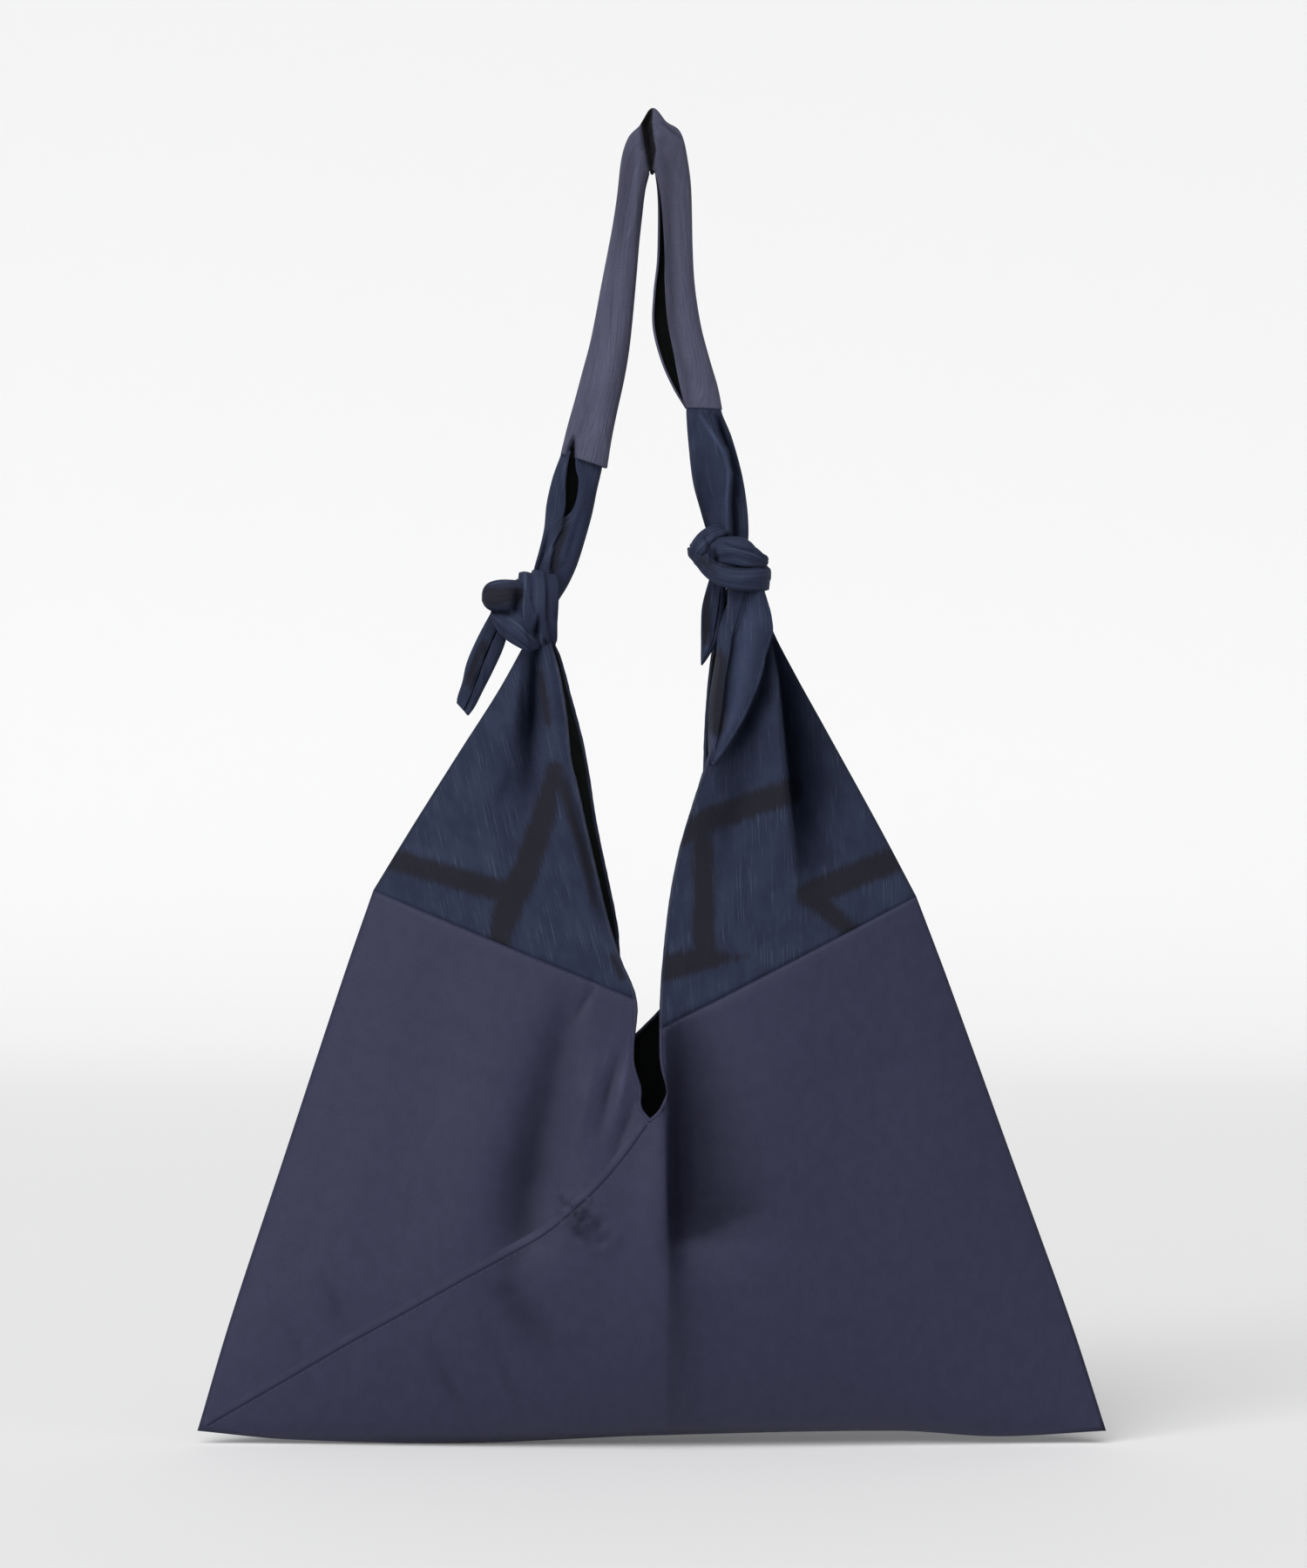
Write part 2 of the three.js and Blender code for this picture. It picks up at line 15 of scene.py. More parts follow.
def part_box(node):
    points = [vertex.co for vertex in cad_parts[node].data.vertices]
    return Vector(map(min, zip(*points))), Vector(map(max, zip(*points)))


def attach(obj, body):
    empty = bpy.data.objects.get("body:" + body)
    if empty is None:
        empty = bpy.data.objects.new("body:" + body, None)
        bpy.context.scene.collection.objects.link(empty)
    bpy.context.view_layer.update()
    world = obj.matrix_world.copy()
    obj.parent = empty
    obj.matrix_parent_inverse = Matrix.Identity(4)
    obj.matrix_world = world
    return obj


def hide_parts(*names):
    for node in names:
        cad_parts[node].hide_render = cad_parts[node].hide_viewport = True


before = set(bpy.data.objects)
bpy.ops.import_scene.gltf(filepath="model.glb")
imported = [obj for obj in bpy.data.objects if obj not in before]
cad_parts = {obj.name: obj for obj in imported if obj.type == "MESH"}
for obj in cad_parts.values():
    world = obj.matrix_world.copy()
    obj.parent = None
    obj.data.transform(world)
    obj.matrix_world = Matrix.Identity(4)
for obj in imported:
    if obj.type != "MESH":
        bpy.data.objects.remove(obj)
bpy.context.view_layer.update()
bpy.ops.object.select_all(action="DESELECT")

# %% [markdown]
# ## Sizes
#
# Tailors think in millimetres, so the tables below do too, and one factor turns them into
# Blender's metres. The main sizes are read from the frame's pieces. That way the fine
# pieces land on the plain ones with no fitting by eye. The bag hangs below the origin, so
# most tables give how far down a place is, and "across" grows to the right.

# %% Sizes from the frame
MM = 0.001


def box_mm(node):
    """Lowest and highest corner of a frame piece, in millimetres."""
    low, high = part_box(node)
    return Vector(low) / MM, Vector(high) / MM


body_low, body_high = box_mm("bag_body")
HALF_BASE = (body_high.x - body_low.x) / 2
HANG = -body_low.z
BASE_LIFT = 7
BODY_DEPTH = 88
CLOTH = 1.3
SEAM_DEPTH = 60
# Lowest point of the mouth on each layer: down and across
MOUTH_END = {"front": (540.5, -1), "back": (503, -16)}
# Shoulder: across and down. Neck: across, down, width and depth. Seam: down at the mouth
SIDES = {
    "left": {
        "sign": -1,
        "shoulder": (-box_mm("left_peak")[0].x, 411),
        "neck": (65, 264, 10, 17),
        "seam": {"front": 472, "back": 474},
    },
    "right": {
        "sign": 1,
        "shoulder": (box_mm("right_peak")[1].x, 414.5),
        "neck": (53, 236, 17, 18),
        "seam": {"front": 489, "back": 478},
    },
}
print("half base", round(HALF_BASE, 1), "mm, hanging height", round(HANG, 1), "mm")

# %% [markdown]
# ## Camera
#
# The photograph looks at the bag from straight ahead, level with its middle. A long lens
# from far back keeps the sides of the bag nearly parallel. Its sensor is fitted to the
# picture's height, so the same stretch of the bag fills the picture at any size.

# %% Camera
VIEW_HEIGHT = 900
VIEW_CENTRE = Vector((1, 0, -350))
CAMERA_AWAY = 2600
SENSOR = 36

bpy.ops.object.camera_add(location=(VIEW_CENTRE + Vector((0, -CAMERA_AWAY, 0))) * MM)
camera = bpy.context.object
camera.rotation_euler = (math.radians(90), 0, 0)
camera.data.sensor_fit = "VERTICAL"
camera.data.sensor_height = SENSOR
camera.data.lens = SENSOR * CAMERA_AWAY / VIEW_HEIGHT
bpy.context.scene.camera = camera
print("lens", round(camera.data.lens, 1), "mm")

# %% [markdown]
# ## Floor and light
#
# The studio is a pale sweep: a floor that curves up into a wall, so no corner shows. The
# wall leans far back, which keeps it out of the way when the bag is looked at from behind.
# Dark cloth needs big soft lights, because one small lamp would hide the folds in hard
# shadows. A key light from the left gives each fold a lit and a shaded side, and a weaker
# one from the right fills in. A very soft sun stands for a wide window: it lights the
# floor and the wall evenly, and a pale world fills the rest.

# %% Floor and light
FLOOR_GAP = 0.6
FLOOR_BACK = 3300
FLOOR_FRONT = 6000
SWEEP_SIZE = 14000
SWEEP_RADIUS = 900
SWEEP_LEAN = math.radians(60)


def plain_finish(name, colour, roughness):
    """Material with one even colour, for the studio only."""
    material = bpy.data.materials.new(name)
    material.use_nodes = True
    shader = material.node_tree.nodes["Principled BSDF"]
    shader.inputs["Base Color"].default_value = (*colour, 1)
    shader.inputs["Roughness"].default_value = roughness
    shader.inputs["Specular IOR Level"].default_value = 0.2
    return material


def sweep():
    """Pale floor that curves up into a wall behind the bag."""
    bpy.ops.mesh.primitive_grid_add(x_subdivisions=2, y_subdivisions=60, size=1)
    floor = bpy.context.object
    floor.name = floor.data.name = "studio_sweep"
    for vertex in floor.data.vertices:
        run = (vertex.co.y + 0.5) * SWEEP_SIZE - FLOOR_FRONT - FLOOR_BACK
        bend = min(max(run / SWEEP_RADIUS, 0), SWEEP_LEAN)
        beyond = max(run - SWEEP_RADIUS * SWEEP_LEAN, 0)
        y = FLOOR_BACK + min(run, 0) + SWEEP_RADIUS * math.sin(bend) + beyond * math.cos(SWEEP_LEAN)
        z = -HANG - FLOOR_GAP + SWEEP_RADIUS * (1 - math.cos(bend)) + beyond * math.sin(SWEEP_LEAN)
        vertex.co = Vector((vertex.co.x * SWEEP_SIZE, y, z)) * MM
    bpy.ops.object.shade_smooth()
    floor.data.materials.append(plain_finish("studio_paper", (0.85, 0.85, 0.855), 0.9))


def soft_light(name, place, turn, size, watts):
    """Square area light of a size in metres, turned in degrees."""
    bpy.ops.object.light_add(type="AREA", location=place)
    light = bpy.context.object
    light.name = name
    light.data.size = size
    light.data.energy = watts
    light.rotation_euler = [math.radians(angle) for angle in turn]


sweep()
soft_light("key_left", (-3.4, -3.2, 0.95), (74, 0, -46.7), 1.2, 62)
soft_light("fill_right", (2.9, -2.7, 0.4), (78, 0, 47), 1.6, 10)
bpy.ops.object.light_add(type="SUN")
window = bpy.context.object
window.name = "window_light"
window.data.energy = 2.3
window.data.angle = math.radians(50)
window.rotation_euler = (math.radians(39), 0, math.radians(-20))
world = bpy.data.worlds.new("studio_world")
world.use_nodes = True
sky = world.node_tree.nodes["Background"]
sky.inputs["Color"].default_value = (1, 1, 1, 1)
sky.inputs["Strength"].default_value = 0.24
bpy.context.scene.world = world
bpy.context.scene.view_settings.view_transform = "Standard"
bpy.context.scene.view_settings.look = "None"

# %% [markdown]
# ## Tables and curves
#
# A pattern cutter marks a few points on each edge and joins them with a smooth curve. The
# helper does the same: it reads a column of a table at any place between the rows. Blender's
# own curves could do this too, but a table of numbers is easy to read, change and reuse.

# %% Tables and curves


def lerp(start, end, share):
    """Value a share of the way from start to end."""
    return start + (end - start) * share


def limit(value, low=0.0, high=1.0):
    """Value kept between low and high."""
    return min(max(value, low), high)


def along(table, place, column=1):
    """Column of a table at a place in its first column, on a smooth curve."""
    last = len(table) - 1
    row = 0
    while row < last - 1 and table[row + 1][0] < place:
        row += 1
    width = table[row + 1][0] - table[row][0]
    share = limit((place - table[row][0]) / width)

    def slope(at):
        before, after = max(at - 1, 0), min(at + 1, last)
        run = table[after][0] - table[before][0]
        return (table[after][column] - table[before][column]) / run

    start, end = table[row][column], table[row + 1][column]
    bend = (2 * share**3 - 3 * share**2 + 1) * start + (3 * share**2 - 2 * share**3) * end
    lead = (share**3 - 2 * share**2 + share) * slope(row)
    return bend + width * (lead + (share**3 - share**2) * slope(row + 1))


def even(*stations):
    """Stations of a fold that is as wide to its left as to its right."""
    return [(across, down, width, width, depth) for across, down, width, depth in stations]


def rows_along(table, share):
    """All columns of a table at a share of the way from its first row to its last."""
    numbered = [(index, *row) for index, row in enumerate(table)]
    place = share * (len(table) - 1)
    return [along(numbered, place, column) for column in range(1, len(table[0]) + 1)]


print("halfway along a line from 0 to 10 lies", along([(0, 0), (1, 10)], 0.5))

# %% [markdown]
# ## The outline
#
# The bag's outline is a handful of edges: the folded outer edges of the peaks and the pouch,
# the base, and the four opening edges round the mouth. Each is a short table of shares of
# the named sizes: how far down, then how far across. The outline could be traced as one
# curve, but a bag is made from its edges, and here each edge can be changed on its own.
# The opening edges wave, because loose cloth never hangs straight.

# %% The outline
PEAK_EDGE = {
    "left": [(0, 0), (0.22, 0.2), (0.45, 0.44), (0.75, 0.75), (1, 1)],
    "right": [(0, 0), (0.14, 0.085), (0.28, 0.225), (0.44, 0.4), (0.78, 0.77), (1, 1)],
}
POUCH_EDGE = [(0, 0), (0.15, 0.16), (0.5, 0.515), (0.8, 0.82), (1, 1)]
OPENING_EDGE = {
    ("left", "front"): [
        (0, 0), (0.05, 0.07), (0.087, 0.115), (0.166, 0.178), (0.21, 0.2), (0.26, 0.222), (0.315, 0.285),
        (0.4, 0.373), (0.49, 0.47), (0.585, 0.575), (0.632, 0.64), (0.68, 0.72), (0.73, 0.825),
        (0.765, 0.862), (0.8, 0.855), (0.838, 0.835), (0.886, 0.835), (0.935, 0.9), (0.975, 0.905),
        (1, 1),
    ],
    ("right", "front"): [
        (0, 0), (0.16, 0.04), (0.24, 0.12), (0.3, 0.21), (0.335, 0.28), (0.41, 0.44), (0.495, 0.61),
        (0.59, 0.735), (0.72, 0.83), (0.785, 0.855), (0.86, 0.86), (0.897, 0.848), (0.947, 0.775),
        (0.968, 0.82), (0.987, 0.9), (1, 1),
    ],
    ("left", "back"): [
        (0, 0), (0.05, 0.14), (0.15, 0.29), (0.28, 0.47), (0.46, 0.625), (0.7, 0.89), (0.77, 0.92),
        (1, 1),
    ],
    ("right", "back"): [
        (0, 0), (0.13, 0.14), (0.28, 0.21), (0.47, 0.24), (0.62, 0.3), (0.77, 0.39), (0.875, 0.51),
        (0.92, 0.65), (1, 1),
    ],
}
FULLNESS = [
    (0, 0.68), (0.25, 0.86), (0.5, 1), (0.7, 0.97), (0.84, 0.78), (0.93, 0.54), (0.975, 0.33), (1, 0),
]
BASE_LINE = [(0, 1), (0.1, 0.3), (0.29, 0), (0.5, 0.62), (0.77, 1), (0.88, 0.55), (1, 1)]
EDGE_ROUNDNESS = 0.8


def base_z(x):
    """Height of the base line at a place across."""
    return -HANG + BASE_LIFT * along(BASE_LINE, limit((x + HALF_BASE) / (2 * HALF_BASE)))


def opening_x(side, layer, z):
    """Place across of an opening edge at a height."""
    neck_x, neck_drop, neck_width, _ = SIDES[side]["neck"]
    bottom, bottom_x = MOUTH_END[layer]
    start = SIDES[side]["sign"] * (neck_x - neck_width / 2)
    share = limit((-z - neck_drop) / (bottom - neck_drop))
    return lerp(start, bottom_x, along(OPENING_EDGE[side, layer], share))


mouth_width = opening_x("right", "front", -450) - opening_x("left", "front", -450)
print("the mouth is", round(mouth_width, 1), "mm wide at 450 mm down")

# %% [markdown]
# ## Folds
#
# Folds are what make cloth look like cloth. They could be sculpted with a brush or left to a
# cloth simulation, but here they have to fall where the real ones fall. So each fold runs
# along a few stations and has a width to either side: one flank can fall sharply while the
# other eases out, as a pleat does. The depth is how far the cloth is pushed in there, and a
# ridge is negative.

# %% Folds of the front
# Stations: across, down, width to the left, width to the right, depth. even has one width
FRONT_FOLDS = {
    "left peak pleat": [
        (-67.5, 262, 3, 3.4, 7), (-68.5, 285, 4, 4.4, 11), (-69.5, 315, 6, 6, 10.5),
        (-72, 345, 9, 8, 5.5), (-77, 376, 12, 10, 0.8),
    ],
    "left peak branch": [(-76, 325, 9, 6, 1), (-84, 350, 10, 7, 2.6), (-93, 372, 12, 9, 0.3)],
    "left peak roll": [
        (-61.5, 272, 4, 4, -2), (-57.5, 300, 6, 5, -4), (-54, 335, 8, 7, -3.5), (-46, 375, 10, 9, -1.5),
        (-34, 420, 10, 9, -0.5),
    ],
    "right peak pleat": [
        (69.5, 258, 1.6, 9, 9), (74.5, 290, 1.6, 12, 13), (78, 330, 1.8, 18, 15),
        (81, 362, 2.2, 20, 12.5), (84.5, 388, 3, 20, 7.5), (89, 416, 5, 14, 0.6),
    ],
    "right peak roll": [
        (66, 272, 3, 2.4, -0.8), (71, 300, 4, 2.4, -2.4), (74, 335, 6, 3, -3), (77.5, 368, 8, 3, -2.4),
        (82, 400, 9, 4, -0.6),
    ],
    "right peak dip": [
        (58, 300, 10, 8, 3), (45, 350, 12, 10, 4), (36, 380, 10, 12, 2.5), (33, 410, 9, 14, 0.5),
    ],
    "left panel valley": [
        (-46, 468, 9, 8, 0.8), (-52, 500, 12, 10, 5.5), (-61, 540, 14, 16, 9), (-69, 575, 16, 20, 11.5),
        (-76, 604, 16, 20, 7), (-86, 630, 13, 18, 0.6),
    ],
    "under the diagonal": [
        (-92, 622, 14, 16, 0.4), (-80, 640, 18, 16, 3.8), (-64, 668, 22, 22, 1.8),
        (-45, 690, 24, 24, 0.3),
    ],
    "mouth pocket": [
        (20, 476, 10, 18, 3), (19, 515, 7, 26, 10), (18, 555, 6, 32, 13), (18, 585, 6, 36, 12),
        (19, 606, 7, 36, 6.5), (20, 634, 8, 32, 0.4),
    ],
    "pocket ridge": even((17, 498, 2.4, -0.6), (17.8, 545, 2.6, -2.2), (18.5, 588, 3, -0.6)),
    "standing ridge": [
        (6.5, 540, 12, 4, -2.4), (8, 590, 18, 4.5, -4.4), (9, 640, 20, 7, -4.2), (9.5, 700, 20, 10, -2.2),
        (9.5, 724, 18, 14, -0.4),
    ],
    "right of the ridge": [(17, 625, 9, 20, 0.8), (18, 650, 10, 26, 2.6), (20, 700, 12, 26, 1.2)],
    "mouth pleat a": even((-30, 508, 4, -0.4), (-37, 530, 5, -1.8), (-45, 560, 6, -0.4)),
    "mouth pleat b": even((-20, 505, 3, 0.4), (-24, 522, 3.5, 1.7), (-29, 548, 4, 0.4)),
    "mouth pleat c": even((-9, 526, 3, 0.3), (-16, 545, 3.5, 1.6), (-24, 566, 4, 0.2)),
    "mouth pleat d": even((-12, 505, 3, -0.3), (-17, 525, 3.5, -1.3), (-21, 545, 4, -0.2)),
    "seam crease left": even((-34, 466, 2.5, 0.9), (-39, 474, 3, 1.2), (-46, 486, 4, 0.1)),
    "corner crease a": [(-214, 648, 7, 5, 0.2), (-204, 672, 8, 5, 2.4), (-190, 698, 7, 5, 0.2)],
    "corner crease b": [(-190, 628, 7, 6, 0.2), (-178, 652, 8, 6, 2.2), (-166, 676, 7, 6, 0.2)],
    "corner crease c": [(-238, 672, 6, 5, 0.2), (-228, 692, 7, 5, 2), (-216, 708, 6, 5, 0.2)],
    "low ripple a": [(-128, 664, 8, 5, 0.2), (-116, 690, 9, 6, 2.4), (-106, 712, 8, 6, 0.3)],
    "low ripple b": [(-152, 672, 8, 5, 0.2), (-142, 694, 9, 6, 2), (-134, 714, 8, 6, 0.3)],
    "low ripple c": [(-98, 650, 7, 6, 0.2), (-84, 684, 8, 6, 1.8), (-74, 708, 8, 6, 0.2)],
    "side drag": [
        (-170, 480, 12, 10, 0.3), (-178, 540, 14, 11, 2), (-196, 610, 13, 10, 1.4),
        (-214, 660, 10, 9, 0.2),
    ],
    "right panel wave": [
        (96, 440, 26, 34, 0.6), (112, 520, 34, 44, 2.6), (130, 610, 40, 46, 2), (142, 690, 40, 40, 0.5),
    ],
    "left panel wave": [
        (-112, 430, 22, 20, 0.5), (-122, 500, 26, 22, 2.4), (-135, 580, 28, 24, 2),
        (-150, 640, 24, 22, 0.4),
    ],
}


def fold_depth(stations, x, z):
    """Depth of one fold at a place, from its nearest stretch."""
    widest = 2.7 * max(max(station[2], station[3]) for station in stations)
    xs = [station[0] for station in stations]
    if x < min(xs) - widest or x > max(xs) + widest:
        return 0.0
    drops = (stations[0][1], stations[-1][1])
    if -z < min(drops) - widest or -z > max(drops) + widest:
        return 0.0
    nearest, depth = 1e9, 0.0
    for start, end in zip(stations, stations[1:]):
        run_x, run_z = end[0] - start[0], start[1] - end[1]
        from_x, from_z = x - start[0], z + start[1]
        share = limit((from_x * run_x + from_z * run_z) / (run_x**2 + run_z**2))
        away_x, away_z = from_x - run_x * share, from_z - run_z * share
        away = math.hypot(away_x, away_z)
        if away < nearest:
            nearest = away
            flank = 2 if away_x < 0 else 3
            width = lerp(start[flank], end[flank], share)
            depth = lerp(start[4], end[4], share) * math.exp(-((away / width) ** 2))
    return depth


def front_sink(x, z):
    """How far the front cloth is pushed in at a place."""
    return sum(fold_depth(stations, x, z) for stations in FRONT_FOLDS.values())


print(len(FRONT_FOLDS), "folds, the left pleat", round(front_sink(-69, -300), 1), "mm deep")

# %% [markdown]
# Even between its folds, hanging cloth is never flat. A little noise gives it that, broad
# and fine. Where two seams cross inside, their ends make a small crumpled patch, which
# gets its own noise within a soft-edged oblong.

# %% Uneven cloth
BACK_SHARE = 0.75
PUCKER = {"x": -38.5, "down": 598, "long": 23, "wide": 11, "turn": 42, "height": 1.7}


def rumple(x, z, layer):
    """Slight unevenness of hanging cloth, different on each layer."""
    seed = 3.7 if layer == "front" else 41.3
    broad = noise.noise(Vector((x / 70, z / 95, seed)))
    fine = noise.noise(Vector((x / 19, z / 30, seed + 9)))
    return 1.1 * broad + 0.28 * fine


def pucker(x, z):
    """Crumpled patch where the ends of two seams cross under the cloth."""
    turn = math.radians(PUCKER["turn"])
    dx, dz = x - PUCKER["x"], z + PUCKER["down"]
    run = dx * math.cos(turn) - dz * math.sin(turn)
    rise = dx * math.sin(turn) + dz * math.cos(turn)
    inside = math.exp(-((abs(run) / PUCKER["long"]) ** 4) - (abs(rise) / PUCKER["wide"]) ** 4)
    wrinkle = noise.noise(Vector((run / 5.5, rise / 3.6, 7.1)))
    return inside * PUCKER["height"] * (wrinkle * 1.6 - 0.5)


def sink(x, z, layer):
    """Depth of all folds of one layer. The back hangs as the front does, turned round."""
    if layer == "front":
        return front_sink(x, z) + pucker(x, z) + rumple(x, z, layer)
    return BACK_SHARE * front_sink(-x, z) + rumple(x, z, layer)


print("the cloth is", round(rumple(60, -600, "front"), 2), "mm uneven on the right panel")

# %% [markdown]
# ## Peaks and pouch as sheets
#
# Each sheet is a flat grid that is draped: every point of the grid has a share across and a
# share down, and the functions say where cloth with those shares hangs. The grid keeps its
# UV map, which later carries the weave. A lofted surface between curves could give the same
# sheet, but here each point knows its share of the cloth, so one function can shape it.

# %% Draping
MOUTH_SHARE = 0.28
SEAM_DITCH = 0.8


def swell(share):
    """Share of the full depth, rising from a folded edge."""
    return math.sin(math.pi / 2 * limit(share)) ** EDGE_ROUNDNESS


def layer_y(half_depth, x, z, layer, hold):
    """Place front to back of a layer. hold keeps its folded edges together."""
    least = min(half_depth, 2.2 * CLOTH)
    depth = max(half_depth - sink(x, z, layer) * hold, least)
    return -depth if layer == "front" else depth


def peak_place(side, layer, outward, down):
    """Point of a peak: outward is 0 at the opening edge, down is 0 at the neck."""
    facts = SIDES[side]
    sign = facts["sign"]
    neck_x, neck_drop, neck_width, neck_depth = facts["neck"]
    shoulder_x, shoulder_drop = facts["shoulder"]
    seam_drop = facts["seam"][layer]
    outer_x = sign * lerp(neck_x + neck_width / 2, shoulder_x, along(PEAK_EDGE[side], down))
    outer_z = -lerp(neck_drop, shoulder_drop, down)
    open_z = -lerp(neck_drop, seam_drop, down)
    open_x = opening_x(side, layer, open_z)
    x, z = lerp(open_x, outer_x, outward), lerp(open_z, outer_z, outward)
    half = lerp(neck_depth, SEAM_DEPTH, down) / 2 * swell(1 - outward)
    ditch = SEAM_DITCH * math.exp(-(((1 - down) * (seam_drop - neck_drop) / 2.5) ** 2))
    hold = limit((1 - outward) * 4)
    y = layer_y(half - ditch * hold, x, z, layer, hold)
    return Vector((x, y, z))


def pouch_place(side, layer, outward, down):
    """Point of the pouch: outward is 0 at the middle, down is 0 at the kasuri seam."""
    facts = SIDES[side]
    sign = facts["sign"]
    shoulder_x, shoulder_drop = facts["shoulder"]
    seam_drop = facts["seam"][layer]
    bottom, bottom_x = MOUTH_END[layer]
    corner_z = base_z(sign * HALF_BASE)
    outer_x = sign * lerp(shoulder_x, HALF_BASE, along(POUCH_EDGE, down))
    outer_z = lerp(-shoulder_drop, corner_z, down)
    if down < MOUTH_SHARE - 1e-6:
        middle_z = -lerp(seam_drop, bottom, down / MOUTH_SHARE)
        middle_x = opening_x(side, layer, middle_z)
    else:
        share = (down - MOUTH_SHARE) / (1 - MOUTH_SHARE)
        middle_z = lerp(-bottom, base_z(0), share)
        middle_x = lerp(bottom_x, 0, share)
    x, flat_z = lerp(middle_x, outer_x, outward), lerp(middle_z, outer_z, outward)
    sag = base_z(x) - lerp(base_z(0), corner_z, outward)
    z = flat_z + sag * down**6
    top = SEAM_DEPTH / 2 / FULLNESS[0][1]
    half = lerp(top, BODY_DEPTH / 2, limit(down * 3)) * along(FULLNESS, down) * swell(1 - outward)
    ditch = SEAM_DITCH * math.exp(-((down * (HANG - seam_drop) / 2.5) ** 2))
    hold = limit((1 - outward) * 4) * limit((1 - down) * 5)
    if down > 0.999:
        return Vector((x, 0, z))
    return Vector((x, layer_y(half - ditch * hold, x, z, layer, hold), z))


middle_spot = pouch_place("left", "front", 0.5, 0.5)
print("middle of the left panel, in mm:", [round(value) for value in middle_spot])

# %% [markdown]
# Four steps repeat for every piece of cloth: pick the pieces to work on, drape a grid, join
# and merge what touches, and give the cloth a wall. Each step gets a helper. A plane with
# no wall would be lighter, but its edges would look like paper.

# %% Grid, join and wall


def pick(pieces):
    """Select some pieces, the first one active."""
    bpy.ops.object.select_all(action="DESELECT")
    for piece in pieces:
        piece.select_set(True)
    bpy.context.view_layer.objects.active = pieces[0]


def draped_grid(name, columns, rows, place, cloth_uv):
    """Grid primitive draped by a function of its shares across and down."""
    bpy.ops.object.select_all(action="DESELECT")
    bpy.ops.mesh.primitive_grid_add(x_subdivisions=columns, y_subdivisions=rows, size=1)
    sheet = bpy.context.object
    sheet.name = sheet.data.name = name
    mesh = sheet.data
    shares = [(vertex.co.x + 0.5, 0.5 - vertex.co.y) for vertex in mesh.vertices]
    places = [place(limit(across), limit(down)) for across, down in shares]
    for vertex, spot in zip(mesh.vertices, places):
        vertex.co = spot * MM
    uv_layer = mesh.uv_layers.active
    uv_layer.name = "cloth"
    for loop in mesh.loops:
        spot = places[loop.vertex_index]
        uv_layer.data[loop.index].uv = cloth_uv(spot, *shares[loop.vertex_index])
    return sheet


def join_pieces(pieces, name):
    """One object from several, its touching edges merged."""
    pick(pieces)
    if len(pieces) > 1:
        bpy.ops.object.join()
    joined = bpy.context.object
    joined.name = joined.data.name = name
    bpy.ops.object.mode_set(mode="EDIT")
    bpy.ops.mesh.select_all(action="SELECT")
    bpy.ops.mesh.remove_doubles(threshold=0.04 * MM)
    bpy.ops.mesh.normals_make_consistent(inside=False)
    bpy.ops.object.mode_set(mode="OBJECT")
    foremost = min(joined.data.polygons, key=lambda face: face.center.y)
    if foremost.normal.y > 0:
        bpy.ops.object.mode_set(mode="EDIT")
        bpy.ops.mesh.flip_normals()
        bpy.ops.object.mode_set(mode="OBJECT")
    return joined


def thicken(piece, wall):
    """Cloth with a real wall: Solidify grows it inwards, and is applied."""
    pick([piece])
    # One slot for the outer finish and one for the lining, filled in later
    piece.data.materials.append(None)
    piece.data.materials.append(None)
    solidify = piece.modifiers.new("wall", "SOLIDIFY")
    solidify.thickness = wall * MM
    solidify.offset = -1
    solidify.material_offset = 1
    bpy.ops.object.modifier_apply(modifier=solidify.name)
    bpy.ops.object.shade_smooth()
    return piece


print("the wall of the cloth is", CLOTH, "mm")

# %% [markdown]
# ## Peaks and pouch
#
# On the real bag each peak and each half of the pouch is one cloth, folded at the outer
# edge. A sheet here runs the same way: from one opening edge round the fold to the other.
# Two flat panels could be sewn at the edge instead, but the fold would then be a crease.
# The left sheets run the other way round from the right ones, which keeps every face
# pointing outwards.

# %% Peaks and pouch
LEAN = {"left": math.tan(math.radians(13)), "right": 0.03}
PEAK_GRID = (130, 80)
POUCH_GRID = (200, 104)


def round_the_fold(side, place):
    """Place of a sheet whose share across runs over the front and the back."""
    sign = SIDES[side]["sign"]

    def at(across, down):
        turned = 2 * across - 1
        layer = "front" if turned * sign < 0 else "back"
        return place(side, layer, 1 - abs(turned), down)

    return at


def peak_uv(side):
    """Cloth coordinates of a peak, with the yarns leaning as they do on the bag."""
    lean = LEAN[side]
    return lambda spot, across, down: ((spot.x + lean * spot.z) / 100 + (across > 0.5), spot.z / 100)


def flat_uv(spot, across, down):
    """Cloth coordinates of the pouch, straight from the place across and up."""
    return (spot.x / 100, spot.z / 100)


peaks = {}
for side_name in SIDES:
    sheet = draped_grid(
        f"{side_name}_peak_cloth", *PEAK_GRID, round_the_fold(side_name, peak_place), peak_uv(side_name)
    )
    peaks[side_name] = join_pieces([sheet], sheet.name)
halves = [
    draped_grid(f"{side_name}_pouch_half", *POUCH_GRID, round_the_fold(side_name, pouch_place), flat_uv)
    for side_name in SIDES
]
pouch = join_pieces(halves, "pouch_cloth")
for piece in (*peaks.values(), pouch):
    thicken(piece, CLOTH)
print("pouch has", len(pouch.data.vertices), "points with its wall")

# %% [markdown]
# ## Flap
#
# The back sheet of the right peak is wider than the front one. Its spare cloth comes round
# the gathered neck and hangs in front as a flap with a long curved edge. It could be one
# more fold of the peak, but cloth that lies over cloth needs a sheet of its own. Each row
# of the table gives where the flap turns, creases, bulges and ends at one height.

